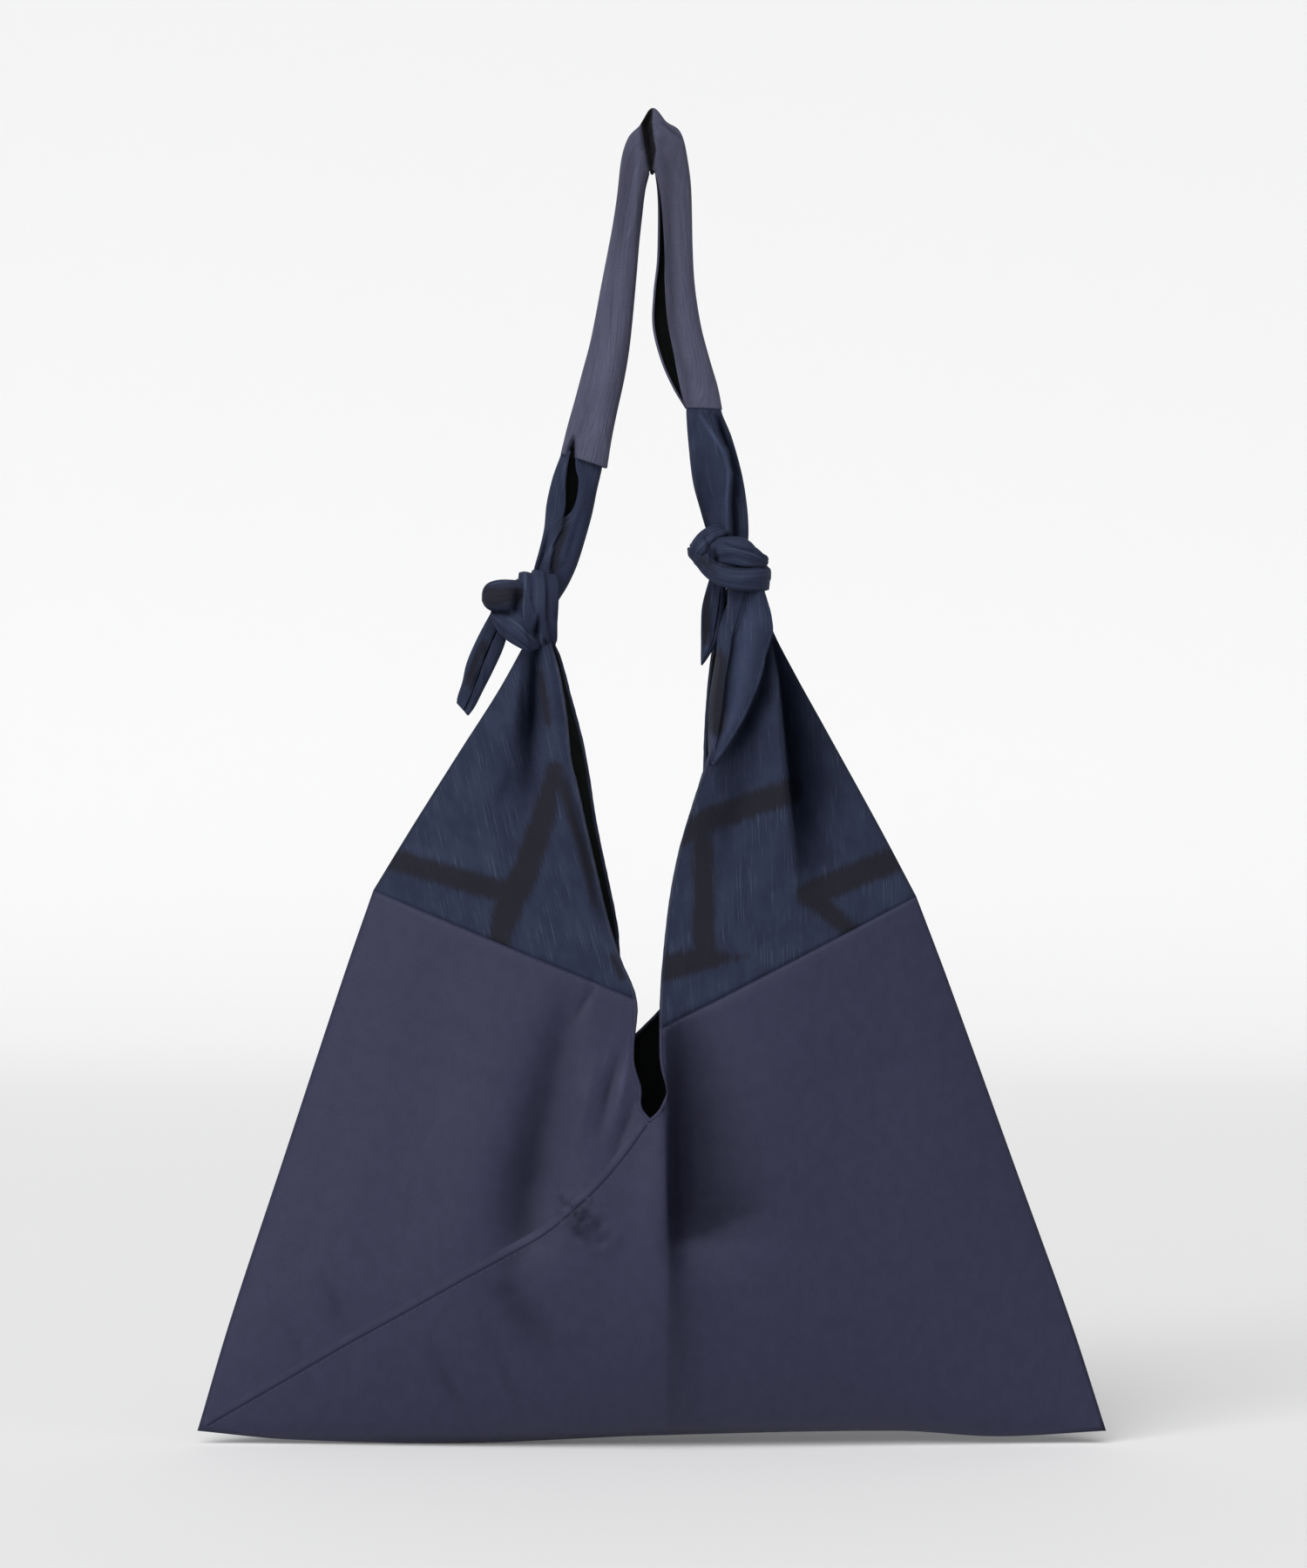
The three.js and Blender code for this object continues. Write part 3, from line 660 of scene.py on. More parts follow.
# %% Flap of the right peak
# Drop, then across at the turn, the crease, the start of the bright roll and the free edge
FLAP_ROWS = [
    (229, 44.5, 54, 57.5, 61), (240, 45, 54.2, 58, 63.5), (254, 39.8, 50.6, 56.5, 67.3),
    (264, 37.4, 47.2, 54.5, 67.8), (277, 36.4, 45.4, 51.5, 64), (290, 34.2, 43, 48, 61),
    (306, 32.2, 41.4, 44.2, 54.7), (320, 32, 39, 40.6, 47.2), (330, 32.3, 36.6, 37.6, 41),
    (339, 32.8, 33.6, 34, 34.6),
]
# Share across, then how far the cloth lies in front of the neck's middle: whole and extra
FLAP_SECTION = [
    (0, -0.75, 0), (0.16, -0.1, 0), (0.34, 0.75, 0), (0.5, 1, -2.6), (0.58, 1, -4.4), (0.66, 1, -1),
    (0.82, 1, 1.6), (0.94, 1, 1), (1, 1, -0.4),
]
# How far the flap stands in front of the neck's middle: at its top, more lower down, a bulge
FLAP_REACH = (9, 21, 4.5)


def flap_place(across, down):
    """Point of the flap at its shares across and down."""
    drop, turn, crease, roll, free = rows_along(FLAP_ROWS, down)
    top, more, bulge = FLAP_REACH
    reach = top + more * limit((drop - 236) / 253) + bulge * math.sin(math.pi * limit(down, 0.08, 0.94))
    stops = [
        (0, turn + 9), (0.16, turn + 0.6), (0.34, lerp(turn, crease, 0.35)),
        (0.5, lerp(turn, crease, 0.86)), (0.58, crease), (0.66, roll),
        (0.82, lerp(roll, free, 0.55)), (0.94, lerp(roll, free, 0.9)), (1, free),
    ]
    ahead = along(FLAP_SECTION, across) * reach + along(FLAP_SECTION, across, 2) * limit(1.2 - down)
    x = along(stops, across) + 0.5 * noise.noise(Vector((drop / 14, 3.1, 0))) * across
    return Vector((x, -ahead, -drop))


flap = draped_grid("right_peak_flap", 56, 90, flap_place, peak_uv("right"))
flap = join_pieces([flap], "right_peak_flap")
thicken(flap, CLOTH)
print("flap has", len(flap.data.vertices), "points")

# %% [markdown]
# ## Bands of folded cloth
#
# The strap, the ties and the tails are strips folded lengthwise into a flat tube with one
# open side. Each is swept through stations. A station has a middle, a half width and depth,
# the tilt of its width, and the place and size of the open side in degrees. Where the size
# is negative, one lip lies over the other. A curve with a bevel would be quicker, but its
# section stays the same, while a real strip widens, twists and opens on its way.

# %% Folded bands


def power(value, exponent):
    """Power that keeps its sign, for rounded boxes."""
    return math.copysign(abs(value) ** exponent, value)


def band_place(stations, square, sculpt):
    """Place on a folded band. Stations: x, z, half, depth, tilt, open side, gap, lap."""

    def at(across, down):
        x, z, half, depth, tilt, side, gap, lap = rows_along(stations, down)
        angle = math.radians(180 + side + gap / 2 + (360 - gap) * across)
        narrow = 1 - lap * limit((across - 0.55) / 0.45)
        out = half * narrow * power(math.cos(angle), square)
        y = depth * narrow * power(math.sin(angle), square)
        way = Vector((math.cos(math.radians(tilt)), 0, math.sin(math.radians(tilt))))
        spot = Vector((x, y, z)) + way * out
        if y < 0:
            spot.y = min(spot.y + sculpt(spot.x, spot.z), 0.6 * depth)
        return spot

    return at


def run_length(stations):
    """Length of a band along its stations, across and up."""
    return sum(math.dist(start[:2], end[:2]) for start, end in zip(stations, stations[1:]))


def folded_band(name, stations, columns, rows, square=0.75, sculpt=lambda x, z: 0, wall=CLOTH):
    """Band of folded cloth with a wall."""
    length = run_length(stations)
    girth = 5 * sum(station[2] for station in stations) / len(stations)
    place = band_place(stations, square, sculpt)
    band = draped_grid(
        name, columns, rows, place, lambda spot, across, down: (across * girth / 100, down * length / 100)
    )
    band = join_pieces([band], name)
    return thicken(band, wall)


print("a rounded box at 45 degrees reaches", round(power(math.sqrt(0.5), 0.75), 2), "of its half")

# %% [markdown]
# ## Strap
#
# The strap hangs over the hanging point like a ribbon over a nail. At the top its two
# halves lie against each other, and a dark slit shows between them. The right half shows
# its open side, so the inside of the fold is seen there. Only the two edges of the strap
# can be measured, so the table holds those, and a helper works out each station from them.

# %% Strap
STRAP_DEPTH = 7.5
# Outer edge across and up, inner edge across and up, depth, open side, gap
STRAP_EDGES = [
    (-52.3, -160.5, -25.2, -169, 0.88, -5, 40), (-48.5, -145, -22.8, -153, 0.88, -12, 50),
    (-44.3, -130, -19.6, -136.7, 0.88, -18, 60), (-39.5, -112, -15.4, -118, 0.88, -20, 70),
    (-34.7, -93.5, -11.8, -98, 0.93, -15, 75), (-28.6, -61.5, -8, -65.3, 1, -5, 75),
    (-22, -26.5, -4.9, -29, 1, 0, 70), (-18.9, -2.5, -2.2, -6, 1, 0, 60),
    (-14.2, 19.5, -0.9, 1.5, 0.95, 0, 50), (-7, 28, -0.3, 0.2, 0.85, 0, 40),
    (0.4, 38, 0.2, 0, 0.72, 0, 40), (8.5, 30, 0.7, 0.2, 0.85, 0, 50), (16.6, 24, 1.2, -1, 1, 0, 60),
    (21, 6, 2, -8, 1, 5, 70), (22.9, -14, 2.8, -19, 1, 12, 75), (23.6, -45, 3, -47, 1, 27, 70),
    (25, -66, 0.9, -68, 1, 36, 70), (28.3, -87, 0.4, -87.5, 1, 41, 70),
    (33.2, -106, 5, -106.5, 0.95, 38, 68), (37.9, -122, 12, -122.5, 0.85, 24, 60),
    (40.5, -135, 19, -134.4, 0.75, 6, 40),
]
STRAP_CREASES = [
    [(0, -36, 1.4, 1, 2), (-2.8, -28, 3.4, 2.4, 8), (-1.8, -17, 3.2, 2.6, 9), (-0.4, -5, 1.8, 1.6, 5)],
    [(9.5, -27, 1.5, 2.2, 0.5), (14, -24, 1.5, 2.4, 2.2), (16.5, -20, 1.2, 2, 0.6)],
    even((-44.5, 150.5, 1, 1), (-45.5, 158, 2.2, 9), (-46.5, 169, 2.8, 10)),
    [(-9, 10, 2.2, 2.6, -0.5), (-9.5, 50, 2.4, 3, -1), (-13, 85, 2.4, 3, -0.4)],
    [(14.5, 0, 2, 2.4, -0.4), (15.5, 40, 2, 2.4, -0.9), (18, 75, 2, 2.4, -0.3)],
    even((-30, 95, 3.5, 0.3), (-34, 125, 3.5, 1.1), (-38, 150, 3.5, 0.6)),
    even((-22, 100, 3, -0.3), (-26, 130, 3, -0.9), (-32, 160, 3, -0.4)),
]


def strap_sculpt(x, z):
    """Creases of the strap's front, and its slight unevenness."""
    lean = x + 0.2 * z if x < 0 else x - 0.12 * z
    waves = 0.7 * noise.noise(Vector((lean / 8, z / 60, 5.2)))
    waves += 0.34 * noise.noise(Vector((lean / 2.4, z / 50, 1.2)))
    return waves + sum(fold_depth(stations, x, z) for stations in STRAP_CREASES)


def strap_station(out_x, out_z, in_x, in_z, depth, side, gap):
    """Station of the strap from its two edges."""
    half = math.dist((out_x, out_z), (in_x, in_z)) / 2
    tilt = math.degrees(math.atan2(out_z - in_z, out_x - in_x))
    if out_x < in_x and tilt < 0:
        tilt += 360
    return ((out_x + in_x) / 2, (out_z + in_z) / 2, half, depth * STRAP_DEPTH, tilt, side, gap, 0)


strap_stations = [strap_station(*row) for row in STRAP_EDGES]
strap = folded_band("strap_cloth", strap_stations, 72, 330, 0.72, strap_sculpt)
print("strap tilts", [round(station[4]) for station in strap_stations])

# %% [markdown]
# ## Ties
#
# The ties are the kasuri ends that are sewn to the strap and knotted to the peaks. Each
# starts just inside the end of the strap, as one sleeve in another. The left one is open
# towards the front, and lower down its right lip crosses over the left one. The same band
# is used as for the strap, since both are strips that are folded in the same way.

# %% Ties
LEFT_TIE = [
    (-39.6, -161.5, 12.3, 3.6, -19, 68, 16, 0), (-40.8, -166.5, 12.6, 4.4, -19, 70, 20, 0),
    (-44.2, -178, 13.3, 6.6, -17, 84, 25, 0), (-47.4, -192, 13.6, 7, -15, 90, 12, 0.04),
    (-50.8, -207, 12.9, 7, -18, 76, -14, 0.2), (-54.6, -220, 12.6, 7, -24, 72, -22, 0.26),
    (-58.6, -231, 11.6, 7, -28, 76, -24, 0.26), (-63, -243, 9, 7, -24, 84, -24, 0.26),
]
RIGHT_TIE = [
    (29.8, -132.5, 9.9, 4.8, -2, -90, 40, 0), (30.2, -138, 10.4, 5.8, 0, -90, 40, 0),
    (33.4, -152, 12.6, 6.8, 4, -90, 40, 0), (37.6, -174, 14.3, 7, 8, -90, 40, 0),
    (41.4, -192, 13.4, 7, 8, -90, 40, 0), (43.6, -205, 12, 6.6, 4, -90, 40, 0),
    (45, -216, 10, 6, 0, -90, 40, 0),
]
TIE_CREASES = {
    "left": [
        [(-41, 196, 1.6, 2.2, 0.4), (-45, 210, 1.8, 2.6, 1.8), (-51, 226, 1.8, 2.6, 1)],
        [(-54, 168, 1.8, 2, 0.3), (-57, 190, 1.8, 2, 1.3), (-61, 215, 1.8, 2, 0.8)],
        even((-37, 172, 2, -0.3), (-40, 188, 2, -1), (-46, 205, 2, -0.6), (-50, 222, 2, -1)),
        even((-58, 205, 1.5, 0.5), (-61, 218, 1.5, 2), (-66, 230, 1.5, 1.6)),
    ],
    "right": [
        [
            (28.5, 138, 2.4, 1.6, -0.8), (34.5, 149, 2.4, 1.5, -2.6), (41, 160, 2.6, 1.4, -3.6),
            (44.2, 172, 2.6, 1.3, -3.6), (43.6, 188, 2.6, 1.3, -3), (43.8, 206, 2.4, 1.3, -2),
        ],
        [
            (34, 138, 1.2, 2.4, 1.2), (38.4, 148, 1.4, 2.4, 2.6), (44, 160, 1.4, 3, 4.4),
            (48, 173, 1.4, 3, 5.6), (47, 190, 1.4, 3, 5.6), (47.6, 210, 1.4, 3, 4),
        ],
        even((37.5, 140, 1.4, 0.8), (39.6, 148, 1.5, 2.4), (42.4, 156, 1.4, 1)),
        even((27, 160, 2, 0.3), (31, 180, 2, 1.3), (36, 202, 2, 1)),
        even((50, 170, 2, 0.3), (51.5, 188, 2, 1.2), (52, 206, 2, 0.8)),
    ],
}


def tie_sculpt(side):
    """Creases of a tie's front."""

    def at(x, z):
        waves = 0.5 * noise.noise(Vector((x / 5, z / 26, 2.2)))
        return waves + sum(fold_depth(stations, x, z) for stations in TIE_CREASES[side])

    return at


ties = {
    "left": folded_band("left_tie_cloth", LEFT_TIE, 88, 150, 0.8, tie_sculpt("left")),
    "right": folded_band("right_tie_cloth", RIGHT_TIE, 88, 140, 0.78, tie_sculpt("right")),
}
print("ties have", [len(tie.data.vertices) for tie in ties.values()], "points")

# %% [markdown]
# ## Tails
#
# Below each knot the tie's end hangs free. The left tail ends in a slanting cut, and the
# right one folds to a point. A crease runs down the middle, where the two lips meet. A flat
# strip would do from the front, but a tail is a folded strip too, so it is swept as one.

# %% Tails
LEFT_TAIL = [
    (-84, -249, 5.4, 3, -30, 95, 6, 0), (-87.5, -257, 6.8, 3.2, -28, 95, 5, 0),
    (-93, -270, 8.1, 3.2, -24, 92, 4, 0), (-99, -283.5, 7.9, 3, -24, 95, 4, 0),
    (-102.8, -294, 6.5, 2.8, -24, 98, 5, 0), (-106.4, -302.5, 5.9, 2.6, -34, 100, 6, 0),
    (-108.7, -307.2, 5, 2.4, -48, 100, 8, 0),
]
RIGHT_TAIL = [
    (38.8, -229, 4.8, 3, 4, 112, 8, 0), (37, -238, 5.8, 3.2, 2, 112, 6, 0),
    (35.2, -249, 6.5, 3.2, 0, 114, 5, 0), (33.8, -261, 5.6, 3, 0, 114, 5, 0),
    (32.4, -270, 4.2, 2.6, 0, 112, 6, 0), (30.2, -277.5, 2.1, 1.8, 0, 100, 8, 0),
    (28.7, -281.8, 0.5, 0.8, 0, 100, 12, 0),
]


def tail_sculpt(x, z):
    """Slight wrinkles of a tail."""
    return 0.9 * noise.noise(Vector((x / 3.2, z / 17, 8.8)))


tails = {
    "left": folded_band("left_tail_cloth", LEFT_TAIL, 64, 90, 0.8, tail_sculpt, 0.9),
    "right": folded_band("right_tail_cloth", RIGHT_TAIL, 64, 80, 0.8, tail_sculpt, 0.9),
}
print("tails have", [len(tail.data.vertices) for tail in tails.values()], "points")

# %% [markdown]
# ## Knots
#
# A knot is a few thick strands that pass over and under each other. Each strand here is a
# rope: a grid rolled into a closed ring in section and swept along a path. Its size across
# and its thickness change along the way. Pleats run along it, because a tie is gathered
# when it is pulled tight. One long rope through the whole knot would be truer, but short
# strands that dive into each other look the same and are far easier to place.

# %% Ropes


def rope_place(stations, reference, closed, pleats, seed, cap_share, gather):
    """Place on a rope. Stations: x, y, z, half size along the reference, half thickness."""

    def middle(down):
        if closed:
            wrapped = [stations[-1], *stations, *stations[:2]]
            numbered = [(index - 1, *row) for index, row in enumerate(wrapped)]
            spot = (down % 1) * len(stations)
            return [along(numbered, spot, column) for column in range(1, 6)]
        return rows_along(stations, limit(down))

    def at(across, down):
        x, y, z, wide, thick = middle(down)
        ahead, behind = middle(down + 0.01), middle(down - 0.01)
        way = (Vector(ahead[:3]) - Vector(behind[:3])).normalized()
        if not closed:
            end = limit(min(down, 1 - down) / cap_share)
            cap = math.sqrt(max(1 - (1 - end) ** 2, 0))
            wide, thick = wide * cap, thick * cap
        first = (reference - way * reference.dot(way)).normalized()
        second = way.cross(first)
        angle = -2 * math.pi * across
        turn = Vector((math.cos(angle), math.sin(angle), 0))
        ripple = noise.noise(Vector((turn.x * pleats, turn.y * pleats, down * 2.4 + seed)))
        swell_out = 1 + 0.2 * ripple - gather * abs(math.sin(pleats * 1.7 * angle / 2 + 2 * down)) ** 3
        out = first * wide * power(turn.x, 0.85) + second * thick * power(turn.y, 0.85)
        return Vector((x, y, z)) + out * swell_out

    return at


def rope(
    name, stations, pleats, seed, reference=(0, 1, 0), closed=False, size=(72, 96), cap_share=0.16,
    gather=0.16,
):
    """Rope of gathered cloth. cap_share is how much of each end rounds off."""
    place = rope_place(stations, Vector(reference), closed, pleats, seed, cap_share, gather)
    strand = draped_grid(name, *size, place, lambda spot, across, down: (across * 0.5, down * 0.6))
    strand = join_pieces([strand], name)
    bpy.ops.object.shade_smooth()
    return strand


print("a rope is a grid of 72 by 96 unless it says otherwise")

# %% [markdown]
# The left knot has a wide wrap that goes over the front from top to bottom, a round lobe
# on its outer side and a gathered lobe under that, from which the tail comes. The right
# knot has a band round the neck that curves like a smile, and two lobes above it.

# %% Knots
left_strands = [
    rope(
        "left_wrap",
        [
            (-66.5, 13.5, -250, 11.5, 4.4), (-65, 9, -264, 10, 4.4), (-64.5, -3, -268.5, 9.6, 4.6),
            (-65, -12, -262, 10.6, 4.6), (-65.5, -15, -250, 12, 4.6), (-65, -12.5, -238, 11.8, 4.8),
            (-66.5, -3, -231.5, 11, 4.6), (-67, 9, -236, 11, 4.4),
        ],
        3.8, 1.3, (1, 0, 0), closed=True, size=(110, 110), gather=0.3,
    ),
    rope(
        "left_round_lobe",
        [
            (-62, -4, -243.5, 9, 9.4), (-72, -7, -243, 9.5, 9.8), (-82, -8, -243, 10, 9.8),
            (-90, -7, -243.4, 10, 9.8), (-97, -5, -244, 10, 9.8),
        ],
        1.6, 4.1, cap_share=0.4, gather=0.08,
    ),
    rope(
        "left_gathered_lobe",
        [
            (-90, -4, -249, 5, 6), (-84, -8, -254, 6.5, 8.4), (-77, -10, -260, 7, 9.6),
            (-70, -8, -266.5, 6.5, 8), (-65, -4, -271, 5, 6),
        ],
        3.2, 7.7,
    ),
    rope(
        "left_core",
        [(-78, 2, -250, 9, 12), (-70, 1, -250, 11, 16), (-60, 1, -250, 9, 13)],
        1.4, 9.1, size=(40, 40),
    ),
]
right_strands = [
    rope(
        "right_smile",
        [
            (42, 13.5, -225, 7, 4), (28, 8, -219, 6, 4), (24.6, 0, -217, 5.2, 4),
            (27.5, -8, -220, 5.6, 4), (36, -13.5, -228.5, 6.6, 4.2), (48, -15, -232.6, 7.2, 4.4),
            (60, -11.5, -232.5, 7.8, 4.2), (64.5, 0, -231, 8, 4), (57, 11, -229, 7.4, 4),
        ],
        2.6, 2.2, (0, 0, 1), closed=True, size=(64, 110),
    ),
    rope(
        "right_tip_lobe",
        [
            (42, -4, -205, 5, 5), (34, -9, -208.5, 6, 6), (28.5, -10, -213, 6, 5.6),
            (25.4, -6, -216.5, 5, 4.4), (23.4, -2, -217, 4, 3),
        ],
        2.2, 5.5,
    ),
    rope(
        "right_folded_lobe",
        [
            (33.5, -9, -220.5, 5, 4.8), (38, -13, -217, 6, 7), (46, -15, -217, 6.4, 8.2),
            (54, -13.5, -219, 6, 7.6), (61, -9, -221.4, 5, 4.6), (66, -4, -222, 4, 3),
        ],
        2.4, 3.4,
    ),
    rope(
        "right_core",
        [(30, 2, -221, 9, 9), (44, 1, -222, 11, 13), (58, 1, -223, 9, 10)],
        1.4, 6.1, size=(40, 40),
    ),
]
knots = {
    "left": join_pieces(left_strands, "left_knot_cloth"),
    "right": join_pieces(right_strands, "right_knot_cloth"),
}
print("knots have", [len(knot.data.vertices) for knot in knots.values()], "points")

# %% [markdown]
# ## Hems
#
# A cut edge frays, so every free edge of the bag is rolled in and sewn down. The roll is a
# thin rope along the edge. A bevel on the cloth's edge would make it thicker too, but a
# rope can be a little uneven, as a roll made by hand is.

# %% Hems
HEM_RADIUS = 1.15


def hem_rope(name, points):
    """Thin rolled hem along points of an edge."""

    def at(across, down):
        spot = limit(down) * (len(points) - 1)
        index = min(int(spot), len(points) - 2)
        start, end = points[index], points[index + 1]
        middle = start.lerp(end, spot - index)
        way = (end - start).normalized()
        first = (Vector((0, 1, 0)) - way * way.y).normalized()
        second = way.cross(first)
        angle = -2 * math.pi * across
        radius = HEM_RADIUS * (1 + 0.16 * noise.noise(middle * 0.22))
        return middle + (first * math.cos(angle) + second * math.sin(angle)) * radius

    hem = draped_grid(name, 10, len(points) * 2, at, flat_uv)
    return join_pieces([hem], name)


def edge_points(side, layer, place, count, end=1.0):
    """Points along an opening edge, moved in by half a wall."""
    points = []
    for step in range(count + 1):
        spot = place(side, layer, 0, lerp(0, end, step / count))
        spot.y += 0.45 * CLOTH if spot.y < 0 else -0.45 * CLOTH
        points.append(spot)
    return points


peak_hems = {}
pouch_hems = []
for side_name in SIDES:
    peak_hems[side_name] = [
        hem_rope(f"{side_name}_{layer}_peak_hem", edge_points(side_name, layer, peak_place, 70))
        for layer in ("front", "back")
    ]
    pouch_hems += [
        hem_rope(
            f"{side_name}_{layer}_mouth_hem", edge_points(side_name, layer, pouch_place, 24, MOUTH_SHARE)
        )
        for layer in ("front", "back")
    ]
flap_edge = [flap_place(1, step / 60) for step in range(61)]
flap_hem = hem_rope("flap_hem", flap_edge)
print("hems:", flap_hem.name, *[hem.name for hem in pouch_hems])

# %% [markdown]
# ## Seams and stitches
#
# A seam shows as a low fold that lies over its neighbour, with small running stitches beside
# it. Both could be bump in a material, but then they would vanish at the outline and in the
# meshes. A ray from the front finds where each point and each stitch sits on the cloth.

# %% Seam fold
STITCH = {"length": 2.3, "gap": 2.1, "radius": 0.24}


def surface_at(target, x, z):
    """Where a ray from the front meets a piece, and the way its surface faces."""
    hit, spot, normal, _ = target.ray_cast(Vector((x, -200, z)) * MM, Vector((0, 1, 0)))
    if not hit:
        return None, None
    return spot / MM, normal


def walk(line, step):
    """Points at even steps along a line of (x, z) corners."""
    points = []
    left_over = 0.0
    for start, end in zip(line, line[1:]):
        length = math.dist(start, end)
        place = left_over
        while place < length:
            points.append((lerp(start[0], end[0], place / length), lerp(start[1], end[1], place / length)))
            place += step
        left_over = place - length
    return points


# Profile across a seam: out from its line, rise and painted shade
SEAM_PROFILE = [
    (-1.2, -0.06, 0), (-0.75, 0.04, 0.15), (-0.45, 0.04, 0.5), (-0.1, 0.05, 0.5), (0.05, 0.26, 0.1),
    (1.2, 0.3, 0), (2.8, 0.16, 0), (4.6, -0.04, 0),
]


def seam_fold(name, target, line):
    """Low fold of cloth along a seam, with a painted dark line of shade at its foot, where the cloths
    meet.
    """
    path = walk(line, 2.5)

    def at(across, down):
        spot = limit(down) * (len(path) - 1)
        index = min(int(spot), len(path) - 2)
        share = spot - index
        x = lerp(path[index][0], path[index + 1][0], share)
        z = lerp(path[index][1], path[index + 1][1], share)
        before, after = path[max(index - 2, 0)], path[min(index + 3, len(path) - 1)]
        run = Vector((after[0] - before[0], 0, after[1] - before[1])).normalized()
        out, rise, _ = SEAM_PROFILE[round(across * (len(SEAM_PROFILE) - 1))]
        rise *= 1 + 0.35 * noise.noise(Vector((x / 5, z / 5, 1)))
        place, normal = surface_at(target, x - run.z * out, z + run.x * out)
        if place is None:
            place, normal = Vector((x, 0, z)), Vector((0, -1, 0))
        return place + normal * rise

    columns = len(SEAM_PROFILE) - 1
    fold = draped_grid(name, columns, len(path), at, flat_uv)
    # The third column of the profile is painted shade along the foot of the fold
    tones = fold.data.attributes.new("painted_light", "FLOAT", "POINT")
    for index, value in enumerate(tones.data):
        value.value = SEAM_PROFILE[index % len(SEAM_PROFILE)][2]
    bpy.ops.object.shade_smooth()
    return fold


print("a seam fold is", round(SEAM_PROFILE[-1][0] - SEAM_PROFILE[0][0], 1), "mm wide")

# %% [markdown]
# One stitch is modelled as a small ball and copied along the line. Each copy is pulled long,
# laid down on the cloth and shifted by a hair, because hand stitches are never quite even.
# A particle system could scatter them too, but it would leave no mesh of its own.

# %% Stitches


def stitch_row(name, target, line, offset=0.0):
    """Row of running stitches beside a seam."""
    bpy.ops.mesh.primitive_uv_sphere_add(segments=8, ring_count=6, radius=1)
    model = bpy.context.object
    model.name = name
    stitches = []
    path = walk(line, STITCH["length"] + STITCH["gap"])
    for index, (start, end) in enumerate(zip(path, path[1:])):
        run = Vector((end[0] - start[0], 0, end[1] - start[1])).normalized()
        x = start[0] - run.z * offset
        z = start[1] + run.x * offset
        place, normal = surface_at(target, x, z)
        if place is None:
            continue
        way = (run - normal * run.dot(normal)).normalized()
        jitter = 0.25 * noise.noise(Vector((index * 1.7, 0.3, 0.1)))
        stitch = model.copy()
        stitch.data = model.data.copy()
        side_way = normal.cross(way)
        for vertex in stitch.data.vertices:
            bend = way * vertex.co.x * STITCH["length"] / 2
            round_part = (side_way * vertex.co.y + normal * vertex.co.z) * STITCH["radius"]
            vertex.co = (place + bend + round_part + side_way * jitter) * MM
        bpy.context.collection.objects.link(stitch)
        stitches.append(stitch)
    pick(stitches)
    bpy.ops.object.join()
    row = bpy.context.object
    row.name = row.data.name = name
    bpy.data.objects.remove(model)
    bpy.ops.object.shade_smooth()
    return row


print("a stitch is", STITCH["length"], "mm long")

# %% [markdown]
# Two lines are sewn on the front: the long diagonal where the cloth was folded over, and a
# short second line that crosses its upper end. The kasuri seams get a row of stitches just
# below them. The corners of the lines are joined by the smooth curve from before.

# %% Sewing
DIAGONAL_CORNERS = [
    (-257, -719), (-211, -691.5), (-174.5, -669.5), (-136, -647.5), (-106, -630), (-84, -618),
    (-62, -605.5), (-44, -590.5), (-28, -575), (-15, -559.5), (-7, -548.5), (-2, -541.5),
]
DIAGONAL_STEPS = 80
DIAGONAL = [
    tuple(rows_along(DIAGONAL_CORNERS, step / DIAGONAL_STEPS)) for step in range(DIAGONAL_STEPS + 1)
]
SECOND_LINE = [(0, -556), (-12, -569), (-30, -589)]
seam_folds = [seam_fold("diagonal_fold", pouch, DIAGONAL)]
stitch_rows = [
    stitch_row("diagonal_stitches", pouch, DIAGONAL, -1.8),
    stitch_row("second_stitches", pouch, SECOND_LINE),
]


def seam_line(side):
    """Kasuri seam of a side along the front, as (x, z) corners."""
    spots = [pouch_place(side, "front", outward / 16, 0) for outward in range(16)]
    return [(spot.x, spot.z) for spot in spots]


for side_name in SIDES:
    line = [(x, z - 1.6) for x, z in seam_line(side_name)]
    stitch_rows.append(stitch_row(f"{side_name}_seam_stitches", pouch, line))
print("seams and stitches:", len(seam_folds), "fold,", len(stitch_rows), "rows")

# %% [markdown]
# ## Finishes
#
# All the cloth is woven from fine yarn. The plain cloth has a slight satin sheen, and its
# weave shows only as a faint grain. Kasuri is woven from yarn that was dyed in parts, so
# its bands have feathered edges and thick pale yarns run through it. The strap has faint
# lengthwise ribs. A photograph of cloth could be wrapped on instead, but noise that is
# stretched along the yarns has no end, no seam and no light baked in. Small helpers keep
# the node trees short.

# %% Node helpers


def add_node(tree, kind, inputs=None, **settings):
    """Node with its settings and input values."""
    made = tree.nodes.new(kind)
    for key, value in settings.items():
        setattr(made, key, value)
    for key, value in (inputs or {}).items():
        made.inputs[key].default_value = value
    return made


def stretched_noise(tree, uv, scale, detail, roughness=0.55):
    """Noise on the cloth's own coordinates, stretched along the yarns."""
    mapping = add_node(tree, "ShaderNodeMapping", {"Scale": (*scale, 1)})
    texture = add_node(
        tree, "ShaderNodeTexNoise", {"Scale": 1.0, "Detail": detail, "Roughness": roughness},
        noise_dimensions="2D",
    )
    tree.links.new(uv.outputs["UV"], mapping.inputs["Vector"])
    tree.links.new(mapping.outputs["Vector"], texture.inputs["Vector"])
    return texture.outputs["Fac"]


def span(tree, value, low, high, out_low=0.0, out_high=1.0):
    """Value brought from one range to another, smoothly and kept inside."""
    inputs = {"From Min": low, "From Max": high, "To Min": out_low, "To Max": out_high}
    change = add_node(tree, "ShaderNodeMapRange", inputs, interpolation_type="SMOOTHSTEP")
    tree.links.new(value, change.inputs["Value"])
    return change.outputs["Result"]


